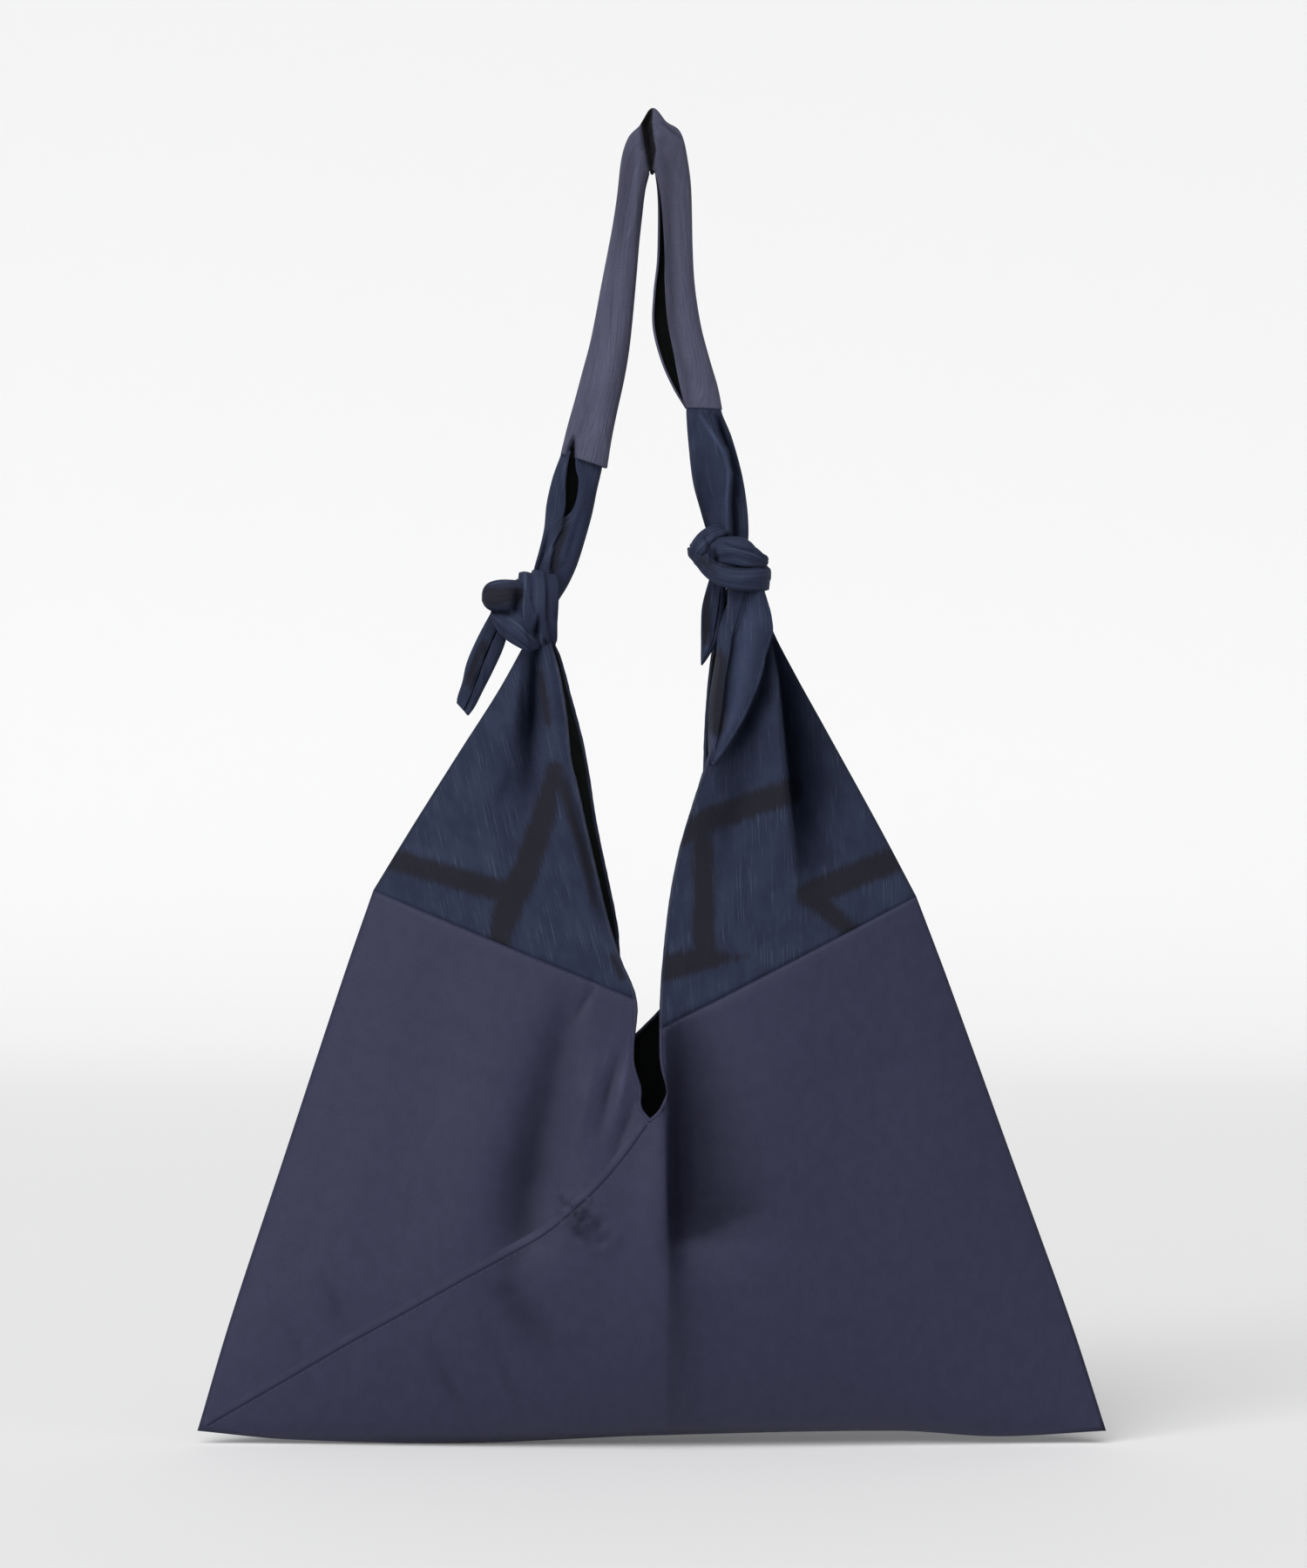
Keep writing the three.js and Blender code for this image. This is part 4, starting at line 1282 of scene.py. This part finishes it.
def maths(tree, operation, first, second):
    """Sum, product or other maths of a socket and a number or socket."""
    made = add_node(tree, "ShaderNodeMath", operation=operation)
    tree.links.new(first, made.inputs[0])
    if isinstance(second, (int, float)):
        made.inputs[1].default_value = second
    else:
        tree.links.new(second, made.inputs[1])
    return made.outputs[0]


def blend(tree, share, first, second):
    """Mix of two colours, each a socket or a plain value."""
    made = add_node(tree, "ShaderNodeMix", data_type="RGBA")
    for socket, colour in ((made.inputs[6], first), (made.inputs[7], second)):
        if isinstance(colour, tuple):
            socket.default_value = (*colour, 1)
        else:
            tree.links.new(colour, socket)
    tree.links.new(share, made.inputs[0])
    return made.outputs[2]


print("node helpers:", *[maker.__name__ for maker in (add_node, stretched_noise, span, maths, blend)])

# %% [markdown]
# ## One woven finish for all
#
# The cloths differ in colour and yarn, not in kind, so one function makes them all from a
# table of values. Mottle is uneven dyeing, slubs are thick yarns, and warp and weft are the
# two ways the yarns run, which only raise the surface a little. The painted light of a point,
# which is stored further down, darkens the colour in a fold as painted shade, with less gloss
# there, and pales it on a ridge as a painted highlight.

# %% Cloth finish
# How much paler a painted highlight makes a ridge, how near black the painted shade takes a fold, and how
# much of that shade is used
RIDGE_HIGHLIGHT = 2
DEEP = 0.06
TONE_SHARE = 0.96


def cloth_finish(name, look):
    """Woven cloth. look holds its colours, its gloss and the sizes of its grain."""
    material = bpy.data.materials.new(name)
    material.use_nodes = True
    tree = material.node_tree
    shader = tree.nodes["Principled BSDF"]
    uv = add_node(tree, "ShaderNodeUVMap", uv_map="cloth")
    mottle = span(tree, stretched_noise(tree, uv, look["mottle"], 3), 0.3, 0.7)
    colour = blend(tree, mottle, look["dark"], look["light"])
    slub_from = look["slub_from"]
    slub = span(tree, stretched_noise(tree, uv, look["slub"], 2), slub_from, slub_from + 0.12)
    patchy = span(tree, stretched_noise(tree, uv, (7, 5), 2), 0.35, 0.6)
    slub_share = maths(tree, "MULTIPLY", maths(tree, "MULTIPLY", slub, patchy), look["slub_share"])
    colour = blend(tree, slub_share, colour, look["slub_colour"])
    if "band" in look:
        # On the kasuri this paints the dyed bands; on the strap it paints shade, nearly black, into the
        # slits where its folds part
        distance = add_node(tree, "ShaderNodeAttribute", attribute_name="band")
        feather = stretched_noise(tree, uv, (75, 5), 2)
        drift = maths(tree, "MULTIPLY", maths(tree, "SUBTRACT", feather, 0.5), look["band_drift"])
        ragged = maths(tree, "ADD", distance.outputs["Fac"], drift)
        soft = look["band_soft"]
        inside = maths(tree, "MULTIPLY", span(tree, ragged, soft, -soft), look["band_share"])
        colour = blend(tree, inside, colour, look["band"])
    # Painted light: ridges are paled as a painted highlight, and folds are darkened nearly to black as
    # painted shade
    painted_light = add_node(tree, "ShaderNodeAttribute", attribute_name="painted_light")
    highlit = tuple(channel * RIDGE_HIGHLIGHT for channel in look["light"])
    colour = blend(tree, span(tree, painted_light.outputs["Fac"], 0.0, -1.0), colour, highlit)
    deep = tuple(channel * DEEP for channel in look["dark"])
    colour = blend(tree, maths(tree, "MULTIPLY", painted_light.outputs["Fac"], TONE_SHARE), colour, deep)
    tree.links.new(colour, shader.inputs["Base Color"])
    # The painted shade also takes the gloss out of the folds
    gloss = span(tree, painted_light.outputs["Fac"], 0.0, 1.0, look["specular"], 0.0)
    tree.links.new(gloss, shader.inputs["Specular IOR Level"])
    shader.inputs["Roughness"].default_value = look["roughness"]
    shader.inputs["Sheen Weight"].default_value = look["sheen"]
    shader.inputs["Sheen Roughness"].default_value = 0.45
    shader.inputs["Sheen Tint"].default_value = (*look["sheen_tint"], 1)
    warp = stretched_noise(tree, uv, look["warp"], 2, 0.6)
    weft = stretched_noise(tree, uv, look["weft"], 2, 0.6)
    grain = maths(tree, "ADD", maths(tree, "MULTIPLY", warp, look["warp_share"]), weft)
    bump = add_node(tree, "ShaderNodeBump", {"Strength": look["bump"], "Distance": 0.0004})
    tree.links.new(grain, bump.inputs["Height"])
    tree.links.new(bump.outputs["Normal"], shader.inputs["Normal"])
    return material


# A painted highlight makes a ridge this many times as light as its cloth
print("a worn ridge is", RIDGE_HIGHLIGHT, "times as light as its cloth")

# %% [markdown]
# The values below are the looks. Each new cloth starts from a near one and changes only what
# differs: the hem is a little paler, as a painted highlight for the light that its roll
# catches, the knots have a finer grain because their strands are small, and the lining is
# dark and dull, a dark cloth darkened further as painted shade for the inside of the folds.

# %% Looks
PLAIN_LOOK = {
    "dark": (0.0258, 0.0266, 0.0562), "light": (0.0286, 0.0294, 0.061), "mottle": (14, 10),
    "slub": (24, 210), "slub_from": 0.62, "slub_share": 0.22, "slub_colour": (0.042, 0.042, 0.076),
    "roughness": 0.5, "specular": 0.16, "sheen": 0.04, "sheen_tint": (0.6, 0.6, 0.9),
    "warp": (170, 40), "weft": (40, 170), "warp_share": 1.0, "bump": 0.35,
}
KASURI_LOOK = {
    "dark": (0.0176, 0.0234, 0.0486), "light": (0.0236, 0.0314, 0.0624), "mottle": (9, 5),
    "slub": (130, 2.6), "slub_from": 0.58, "slub_share": 0.62, "slub_colour": (0.053, 0.069, 0.112),
    "roughness": 0.75, "specular": 0.12, "sheen": 0.04, "sheen_tint": (0.6, 0.7, 1.0),
    "warp": (210, 14), "weft": (30, 150), "warp_share": 1.5, "bump": 0.7,
    "band": (0.0128, 0.0121, 0.0192), "band_share": 0.92, "band_drift": 6.0, "band_soft": 2.4,
}
STRAP_LOOK = {
    "dark": (0.0705, 0.0713, 0.1165), "light": (0.083, 0.084, 0.1335), "mottle": (9, 3),
    "slub": (160, 3), "slub_from": 0.56, "slub_share": 0.4, "slub_colour": (0.094, 0.094, 0.144),
    "roughness": 0.7, "specular": 0.14, "sheen": 0.05, "sheen_tint": (0.7, 0.7, 1.0),
    "warp": (110, 3), "weft": (30, 160), "warp_share": 2.6, "bump": 0.9,
    # The strap's band colour is painted shade, nearly black, for its slits
    "band": (0.003, 0.0032, 0.0032), "band_share": 1.0, "band_drift": 0.0, "band_soft": 0.7,
}
# The hem's paler colour is a painted highlight, for the light that catches its roll
HEM_LOOK = {
    **KASURI_LOOK, "dark": (0.026, 0.031, 0.056), "light": (0.036, 0.042, 0.072), "band_share": 0.6,
}
KNOT_LOOK = {**KASURI_LOOK, "slub": (60, 2.0), "warp": (130, 8), "weft": (16, 110)}
# The lining is a dark cloth, darkened further as painted shade for the inside of the folds
LINING_AND_SHADE_LOOK = {
    **PLAIN_LOOK, "dark": (0.0066, 0.0082, 0.0078), "light": (0.0086, 0.0102, 0.0096), "roughness": 0.9,
    "specular": 0.05, "sheen": 0.0, "slub_share": 0.0,
}
plain_cloth = cloth_finish("plain_cloth", PLAIN_LOOK)
kasuri_cloth = cloth_finish("kasuri_cloth", KASURI_LOOK)
hem_cloth = cloth_finish("kasuri_hem_cloth", HEM_LOOK)
knot_cloth = cloth_finish("kasuri_knot_cloth", KNOT_LOOK)
strap_cloth = cloth_finish("strap_cloth", STRAP_LOOK)
lining_and_shade_cloth = cloth_finish("dark_lining_and_shade", LINING_AND_SHADE_LOOK)
thread = plain_finish("thread", (0.05, 0.05, 0.085), 0.6)
print("cloths:", plain_cloth.name, kasuri_cloth.name, strap_cloth.name, lining_and_shade_cloth.name)

# %% [markdown]
# ## Kasuri bands
#
# The dark bands are woven from yarn that was tied and dyed before weaving. They could be a
# picture on the UV map. Here they are kept with the points instead: each point stores how
# far it lies from the nearest band, and the finish feathers that. The same kind of value
# paints shade, nearly black, into the two slits where the strap's folds part. A stroke on
# the left tie is painted shade along a lip's edge, and the thin strokes by the left peak's
# opening edge are partly band and partly painted shade of the fold there.

# %% Kasuri bands
# Ends of each band's middle line, across and up, and half its width
PEAK_BANDS = {
    "left": [
        (-160, -390, -84, -411.5, 6.2, 6.4), (-55, -342, -63, -374, 5, 7), (-63, -374, -72, -400, 7, 8),
        (-72, -400, -81, -418, 8, 8.5), (-81, -418, -88, -442, 8.5, 6.5),
        # The three thin strokes by the left opening edge are partly band and partly painted shade of the
        # fold beside it
        (-52, -348, -44, -371, 3.6, 2.6), (-44, -371, -36, -400, 2.6, 3), (-36, -400, -32, -420, 3, 1),
        (-22, -449, -17, -459, 2.4, 2.4), (-64, -287, -59, -314, 2, 2.8),
    ],
    "right": [
        (18, -379, 33, -370, 6.5, 7), (33, -370, 80, -354, 7, 7.5), (90, -413, 144, -391, 7.5, 7.5),
        (89, -412, 118, -438, 6.5, 4), (29, -382, 30, -440, 5.5, 7), (5, -455, 26, -450, 8, 7),
        (26, -450, 54, -448, 7, 0.5), (38.5, -279, 37, -318, 4.6, 4.6),
    ],
}
# Where the strap's slits show its dark inside, painted nearly black as the shade in the gap
STRAP_SLITS = [
    (0, 38, -0.8, 35.4, 0.3, 1.4), (-0.8, 35.4, -3, 29, 1.4, 3.2), (-3, 29, -2, 21, 3.2, 3),
    (-2, 21, -0.6, 13, 3, 3.1), (-0.6, 13, -0.6, 5, 3.1, 1.6), (-0.6, 5, 0, 0, 1.6, 0.6),
    (-44.6, -152.5, -46, -160, 0.2, 1.6), (-46, -160, -46.5, -168, 1.6, 2.4),
]
KNOT_BANDS = {
    "left": [
        # The second left stroke is painted shade along the edge of the left tie's crossing lip
        (-95, -243, -78, -242, 6.4, 5.4), (-49, -200, -56, -226, 1.8, 2.4),
        (-96, -270, -105, -292, 2, 2.4),
    ],
    "right": [(31.5, -243, 30.5, -268, 2.4, 2.6), (28, -222, 36, -229, 2, 1)],
}


def band_distance(bands, spot):
    """Distance in millimetres to the nearest band's edge, less than 0 inside."""
    nearest = 60.0
    for start_x, start_z, end_x, end_z, start_half, end_half in bands:
        run = Vector((end_x - start_x, end_z - start_z))
        away = Vector((spot.x - start_x, spot.z - start_z))
        share = limit(away.dot(run) / max(run.length_squared, 1e-6))
        nearest = min(nearest, (away - run * share).length - lerp(start_half, end_half, share))
    return nearest


def store_bands(piece, bands):
    """Each point's distance from the bands, kept with the mesh."""
    attribute = piece.data.attributes.new("band", "FLOAT", "POINT")
    for vertex, value in zip(piece.data.vertices, attribute.data):
        value.value = band_distance(bands, vertex.co / MM)


print(sum(len(bands) for bands in PEAK_BANDS.values()), "band strokes on the peaks")

# %% [markdown]
# ## Painted shade and highlights of the folds
#
# Deep in a fold the cloth is darker than its shape alone explains, since little light gets
# in, and a ridge that catches the light is paler. Real light does part of this, and a stored
# value of painted light does the rest: painted shade above 0 in a fold, a painted highlight
# below 0 on a ridge. It could be painted on with a brush, but the same stations that shape
# the folds also place the painted shade and highlights.

# %% Painted shade and highlights of the folds
# Painted shade of the deep folds, and painted highlights where the strength is below 0: across, down,
# width to the left and to the right, strength
PEAK_TONES = {
    "left": [
        [
            (-66.5, 265, 2.4, 2.4, 0.5), (-68.2, 285, 4.4, 3.6, 0.92), (-69.3, 312, 6, 5, 0.96),
            (-71, 335, 7, 6, 0.75), (-73.5, 358, 9, 8, 0.36), (-77, 385, 10, 9, 0.1),
        ],
        even((-57.5, 290, 4, -0.15), (-55, 315, 5, -0.25), (-50, 345, 5, -0.12)),
        even((-80, 340, 4, 0.1), (-85, 352, 4.5, 0.36), (-91, 368, 4, 0.08)),
        even((-47, 350, 3, 0.1), (-41, 380, 3.4, 0.4), (-33, 412, 3.4, 0.4), (-24, 440, 3, 0.1)),
    ],
    "right": [
        [
            (68.5, 262, 1.2, 3, 0.5), (66.5, 280, 3, 5, 0.8), (62.5, 298, 3, 7, 0.85),
            (55, 315, 3, 9, 0.78), (45, 332, 3, 9, 0.6), (37, 346, 3, 8, 0.25),
        ],
        [
            (69.8, 268, 1, 9, 0.85), (73.6, 290, 1, 19, 0.97), (76.4, 318, 1.1, 25, 1),
            (79, 345, 1.3, 27, 0.96), (81.5, 370, 1.6, 24, 0.85), (85, 395, 2.5, 19, 0.58),
            (89, 416, 4, 12, 0.15),
        ],
        [(58, 322, 8, 7, 0.35), (50, 350, 10, 8, 0.42), (42, 376, 10, 8, 0.38), (38, 400, 9, 8, 0.16)],
    ],
}
# Flap: painted shade along its crease and beside its edges, painted highlight on its bright roll
FLAP_TONES = [
    [
        (54.4, 240, 0.7, 1.1, 0.6), (50.6, 254, 0.8, 1.4, 0.8), (46.8, 266, 0.9, 1.6, 0.85),
        (45, 278, 1, 2.4, 0.8), (42.8, 291, 1.2, 3.4, 0.8), (41.2, 307, 1.4, 2.8, 0.82),
        (38.8, 320, 1.4, 1.8, 0.75), (36.6, 330, 1, 1.4, 0.4),
    ],
    [
        (57, 240, 7, 5, -0.25), (56.5, 257, 7, 6, -0.4), (52.5, 284, 6, 6, -0.42), (46, 311, 5, 5, -0.42),
        (37.5, 332, 3, 3, -0.3),
    ],
    [(33, 282, 1, 3, 0.4), (31.5, 300, 1, 3.4, 0.5), (32, 318, 1, 2.6, 0.4)],
]
# Pouch: painted shade in the valley, the pocket, the crumpled patch and the creases, painted highlight on
# a few ridges
POUCH_TONES = [
    [
        (-46, 468, 9, 8, 0.06), (-54, 500, 10, 9, 0.26), (-63, 540, 11, 10, 0.42),
        (-70, 575, 12, 11, 0.54), (-74, 600, 12, 11, 0.54), (-81, 619, 8, 8, 0.26),
    ],
    [(-83, 636, 8, 9, 0.3), (-75, 648, 11, 10, 0.36), (-62, 664, 12, 10, 0.2), (-52, 684, 12, 10, 0.04)],
    [
        (8.5, 476, 1.6, 16, 0.35), (8.5, 500, 1.6, 26, 0.62), (9.5, 530, 1.6, 36, 0.7),
        (9.5, 565, 1.5, 45, 0.74), (9.5, 592, 1.5, 50, 0.72), (10, 605, 1.5, 42, 0.5),
        (10, 613, 1.5, 26, 0.1),
    ],
    [(14, 607, 15, 3, 0.3), (36, 600, 16, 3.5, 0.34), (60, 588, 14, 4, 0.15)],
    [(10, 620, 1.2, 20, 0.24), (10, 650, 1.3, 25, 0.24), (10, 690, 1.6, 24, 0.18), (10, 722, 2, 20, 0.1)],
    even((-50, 585, 5, 0.12), (-40, 597, 9, 0.26), (-29, 607, 5, 0.12)),
    even((-52, 584, 1.6, 0.25), (-44, 592, 1.8, 0.45), (-36, 600, 1.6, 0.25)),
    even((-45, 584, 1.5, 0.25), (-38, 591, 1.7, 0.4), (-30, 599, 1.5, 0.25)),
    even((-50, 594, 1.5, 0.25), (-42, 603, 1.7, 0.4), (-35, 609, 1.5, 0.15)),
    even((-34, 585, 1.4, 0.25), (-41, 598, 1.5, 0.3), (-40, 607, 1.4, 0.15)),
    even((-12, 490, 1.6, -0.2), (-16.5, 518, 2.4, -0.45), (-22, 545, 2, -0.15)),
    even((-21, 488, 1.4, -0.1), (-27, 508, 2, -0.3), (-33, 528, 2, -0.1)),
    [(-6, 575, 10, 6, -0.1), (0, 610, 12, 6, -0.14), (3, 650, 12, 5, -0.06)],
    [(-213, 652, 4, 3, 0.06), (-203, 674, 5, 3.5, 0.26), (-191, 697, 4, 3, 0.06)],
    [(-188, 632, 4, 3, 0.06), (-177, 654, 5, 3.5, 0.22), (-167, 675, 4, 3, 0.05)],
    [(-127, 668, 4, 3, 0.06), (-115, 692, 5, 3.5, 0.24), (-106, 711, 4, 3, 0.06)],
    [(-96, 654, 4, 3, 0.06), (-84, 685, 5, 4, 0.2), (-75, 706, 4, 3, 0.05)],
    even((-212, 655, 4, -0.05), (-208, 668, 5, -0.14), (-198, 684, 4, -0.05)),
    even((-196, 676, 3, -0.05), (-190, 690, 4, -0.12), (-180, 704, 3, -0.04)),
    even((-100, 668, 4, -0.05), (-92, 682, 6, -0.12), (-86, 700, 4, -0.04)),
    even((-20, 505, 1.6, 0.2), (-25, 524, 2, 0.42), (-31, 548, 2.4, 0.1)),
    even((-9, 526, 1.6, 0.2), (-16, 545, 2, 0.4), (-24, 566, 2, 0.1)),
    even((-33, 466, 1.4, 0.2), (-39, 474, 1.6, 0.4), (-46, 486, 2, 0.1)),
]
# Strap: painted shade beside its slits and along its folds, painted highlight on its light streaks
STRAP_TONES = [
    [
        (0, -6, 5, 2, 0.3), (-2.5, 8, 5, 2.6, 0.4), (-6.5, 28, 4.6, 3, 0.42), (-9.5, 78, 4.4, 3, 0.36),
        (-15.5, 116, 4, 3, 0.3), (-22, 152, 3.4, 3, 0.26),
    ],
    [(-9.5, -19, 6, 4, 0.1), (-14, 3, 7, 5, 0.3), (-17.5, 32, 7, 5, 0.28), (-20, 50, 6, 5, 0.06)],
    even((-7.8, -21, 0.9, -0.2), (-9.4, 19, 0.9, -0.35), (-11, 30.5, 0.8, -0.3), (-15, 38.5, 0.8, -0.15)),
    [(6, -29, 0.8, 1, 0.3), (11.4, -24, 1, 1.4, 0.5), (16.3, -20.6, 0.8, 1, 0.3)],
    [
        (5, -18, 3, 6, 0.3), (8, 2, 4, 7, 0.42), (9, 20, 4, 6.5, 0.46), (9.4, 49, 3, 5, 0.48),
        (11.5, 87, 3, 3.6, 0.44), (19, 116, 2.4, 3, 0.3), (21.7, 131, 2, 2.4, 0.2),
    ],
    [(-20.5, 30, 2.4, 2, -0.12), (-26, 60, 2.6, 2, -0.28), (-31, 90, 2.6, 2, -0.12)],
]
# Knots: painted shade in the gaps between the strands
KNOT_TONES = {
    "left": [
        [
            (-64.6, 253, 0.8, 0.8, 0.5), (-65, 258, 1.8, 1.6, 0.95), (-66, 263, 2.4, 2.4, 1),
            (-66, 266, 1.6, 1.6, 0.7),
        ],
        [(-77, 241, 3, 3, 0.7), (-77.5, 250, 3.6, 3, 0.9)],
        even((-93, 251, 2, 0.7), (-82, 252.5, 2.4, 0.8)),
        even((-61, 268, 1.2, 0.8), (-58, 273, 1.2, 0.6)),
        even((-72, 262, 1, 0.4), (-69, 271, 1, 0.4)),
        [(-70.5, 230, 0.5, 0.9, 0.3), (-68.6, 244, 0.5, 0.9, 0.5), (-67, 252, 0.6, 0.9, 0.4)],
        [(-61.5, 230, 0.5, 0.8, 0.3), (-60, 244, 0.5, 0.8, 0.5), (-60.5, 256, 0.6, 0.8, 0.4)],
        [(-56.5, 236, 1, 4, 0.1), (-55.5, 255, 1, 4, 0.35)],
    ],
    "right": [
        even((35.5, 217, 1.6, 0.7), (37, 223, 2, 0.75)),
        [(40, 226, 1, 0.8, 0.5), (52, 226.5, 1, 1, 0.6), (64, 226, 1, 1, 0.5)],
        even((33, 238, 1.2, 0.6), (48, 241, 1.6, 0.8), (64, 240.5, 1.4, 0.7)),
        even((42, 213, 0.8, 0.4), (50, 216, 0.8, 0.5), (58, 217, 0.8, 0.3)),
        even((30, 209, 0.9, 0.4), (33, 216, 1, 0.6), (33.5, 224, 1, 0.5)),
    ],
}
# Ties: painted shade in their creases, painted highlight on their ridges
TIE_TONES = {
    "left": [
        [
            (-48.5, 192, 1, 1, 0.8), (-51, 204, 0.9, 1, 0.95), (-55.5, 213, 0.9, 1, 0.95),
            (-57.5, 224, 1, 1.4, 0.95), (-57, 236, 1.4, 1.6, 0.95),
        ],
        even((-36, 178, 3, -0.15), (-42, 196, 4, -0.28), (-47, 212, 4, -0.28), (-53, 226, 3, -0.2)),
        even((-60, 206, 1, 0.3), (-63, 218, 1.2, 0.6), (-66, 230, 1.4, 0.6)),
    ],
    "right": [
        [
            (36, 139, 0.5, 2.4, 0.4), (40.5, 149, 0.6, 3.4, 0.6), (45, 160, 0.7, 4, 0.7),
            (47, 173, 0.7, 4.6, 0.76), (46, 190, 0.7, 5, 0.8), (47, 208, 0.7, 4.6, 0.85),
        ],
        [
            (27.5, 139, 1.4, 1.4, -0.4), (35, 150, 1.6, 1.2, -0.7), (42.4, 161, 1.6, 1.1, -0.8),
            (44.6, 172, 1.5, 1, -0.8), (43, 188, 1.5, 1, -0.6), (43.4, 204, 1.5, 1, -0.5),
        ],
        [(38.5, 140, 1, 1.4, 0.6), (40.5, 148, 1.4, 1.4, 0.9), (43.4, 156, 1, 1, 0.5)],
        even((26, 145, 5, 0.1), (30, 165, 6, 0.18), (34, 190, 6, 0.2), (38, 208, 5, 0.15)),
        [(24, 160, 1.2, 1.6, 0.2), (28, 190, 1.6, 2, 0.5), (32, 206, 1.6, 2, 0.6)],
    ],
}
# Tails: painted shade along their middle creases and beside them
TAIL_TONES = {
    "left": [
        [
            (-88, 258, 0.7, 0.9, 0.6), (-94, 271, 0.7, 0.9, 0.75), (-99.4, 284, 0.7, 0.9, 0.75),
            (-104, 296, 0.7, 0.9, 0.6),
        ],
        [(-93, 260, 1, 4, 0.25), (-101, 274, 1, 5, 0.3), (-106, 288, 1, 4, 0.25)],
    ],
    "right": [
        [(39.5, 240, 0.7, 0.9, 0.7), (38, 252, 0.7, 0.9, 0.7), (36, 262, 0.6, 0.8, 0.6)],
        [(30, 240, 1, 5, 0.3), (29.5, 262, 1, 5, 0.35)],
    ],
}


def store_tones(piece, tones):
    """Painted light of each point: painted shade above 0 in deep folds, a painted highlight below 0 on
    ridges. The back mirrors it.
    """
    attribute = piece.data.attributes.new("painted_light", "FLOAT", "POINT")
    for vertex, value in zip(piece.data.vertices, attribute.data):
        spot = vertex.co / MM
        x = spot.x if spot.y < 1 else -spot.x
        open_dark = open_light = 1.0
        for stations in tones:
            strength = fold_depth(stations, x, spot.z)
            open_dark *= 1 - limit(strength)
            open_light *= 1 - limit(-strength)
        value.value = open_light - open_dark


print(len(POUCH_TONES), "rows of tones on the pouch")

# %% [markdown]
# ## Assembly
#
# Every piece now takes its bands, its painted shade and highlights, and its finish. Then it
# is tied to the frame: it rides on the bag's one body and replaces a plain piece, which is
# hidden. The hems and the rows of stitches stay objects of their own, so that a reader can
# pick or hide them, and each stands for the same plain piece as the cloth that it is sewn to.

# %% Dressing
FOLD_REACH = 2


def dress(piece, outside, inside=None):
    """Outer finish, and the lining on the faces that Solidify made."""
    finishes = [outside, inside] if inside else [outside]
    for slot, finish in enumerate(finishes):
        if slot < len(piece.data.materials):
            piece.data.materials[slot] = finish
        else:
            piece.data.materials.append(finish)


def settle(part, node):
    """Tie a piece to the frame's body and hide the plain piece that it stands for."""
    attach(part, "root")
    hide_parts(node)


# Near a folded edge the inner faces come close to the outside, so they take its finish
for sheet in (*peaks.values(), pouch):
    for face in sheet.data.polygons:
        if abs(face.center.y) < FOLD_REACH * MM:
            face.material_index = 0
print("lining on", sum(face.material_index for face in pouch.data.polygons), "faces of the pouch")

# %% [markdown]
# Now the pieces are dressed one after the other. The left and the right side of the bag are
# built from the same kinds of piece, so one loop dresses both, and the tables differ.

# %% Assembly
SMALL_PIECES = ((knots, "knot", KNOT_TONES), (ties, "tie", TIE_TONES), (tails, "tail", TAIL_TONES))
for side_name in SIDES:
    peak_parts = [peaks[side_name], *peak_hems[side_name]]
    if side_name == "right":
        peak_parts += [flap, flap_hem]
    for part in peak_parts:
        store_bands(part, PEAK_BANDS[side_name])
        store_tones(part, FLAP_TONES if part in (flap, flap_hem) else PEAK_TONES[side_name])
        if part in peak_hems[side_name]:
            dress(part, hem_cloth)
        else:
            dress(part, kasuri_cloth, lining_and_shade_cloth)
        settle(part, f"{side_name}_peak")
    for pieces, node, tones in SMALL_PIECES:
        part = pieces[side_name]
        store_bands(part, KNOT_BANDS[side_name])
        store_tones(part, tones[side_name])
        if node == "knot":
            dress(part, knot_cloth)
        else:
            dress(part, kasuri_cloth, lining_and_shade_cloth)
        settle(part, f"{side_name}_{node}")
for part in (pouch, *pouch_hems):
    store_tones(part, POUCH_TONES)
for part in (pouch, *pouch_hems, *seam_folds):
    dress(part, plain_cloth, lining_and_shade_cloth)
    settle(part, "bag_body")
for row in stitch_rows:
    dress(row, thread)
    settle(row, "bag_body")
store_bands(strap, STRAP_SLITS)
store_tones(strap, STRAP_TONES)
dress(strap, strap_cloth, lining_and_shade_cloth)
settle(strap, "shoulder_strap")
print("slots of the strap:", [slot.name for slot in strap.data.materials])

# %% [markdown]
# ## Cloth facts
#
# A game or a simulator may want to let the cloth move. It then needs to know how large each
# piece is when laid flat, and what holds it, but only the size is printed here. The
# rectangle is the one that the piece is cut from, widened where the area measured on the
# mesh, half of both faces, needs more. The knots are left out, because they are ropes and
# not sheets.

# %% Cloth facts
PEAK_CUT = (300, 240)
FLAP_CUT = (40, 112)
POUCH_TOP = 410


def declare_cloth(piece, width, length, held, hems=()):
    """Print the rectangle that a piece of cloth is cut from, in millimetres, widened to hold its flat
    area.
    """
    area = sum(face.area for face in piece.data.polygons) / 2
    width = max(width, 1.01 * area / MM**2 / length)
    print(piece.name, "is cut from", round(width), "x", round(length), "mm")


declare_cloth(pouch, 4 * HALF_BASE, HANG - POUCH_TOP, "folded", [*pouch_hems, *seam_folds, *stitch_rows])
for side_name in SIDES:
    declare_cloth(peaks[side_name], *PEAK_CUT, "folded", peak_hems[side_name])
declare_cloth(flap, *FLAP_CUT, "hung", [flap_hem])
declare_cloth(strap, 40, run_length(strap_stations), "folded")
for side_name, tie_stations, tail_stations in (
    ("left", LEFT_TIE, LEFT_TAIL), ("right", RIGHT_TIE, RIGHT_TAIL)
):
    declare_cloth(ties[side_name], 40, run_length(tie_stations), "folded")
    declare_cloth(tails[side_name], 20, run_length(tail_stations), "folded")
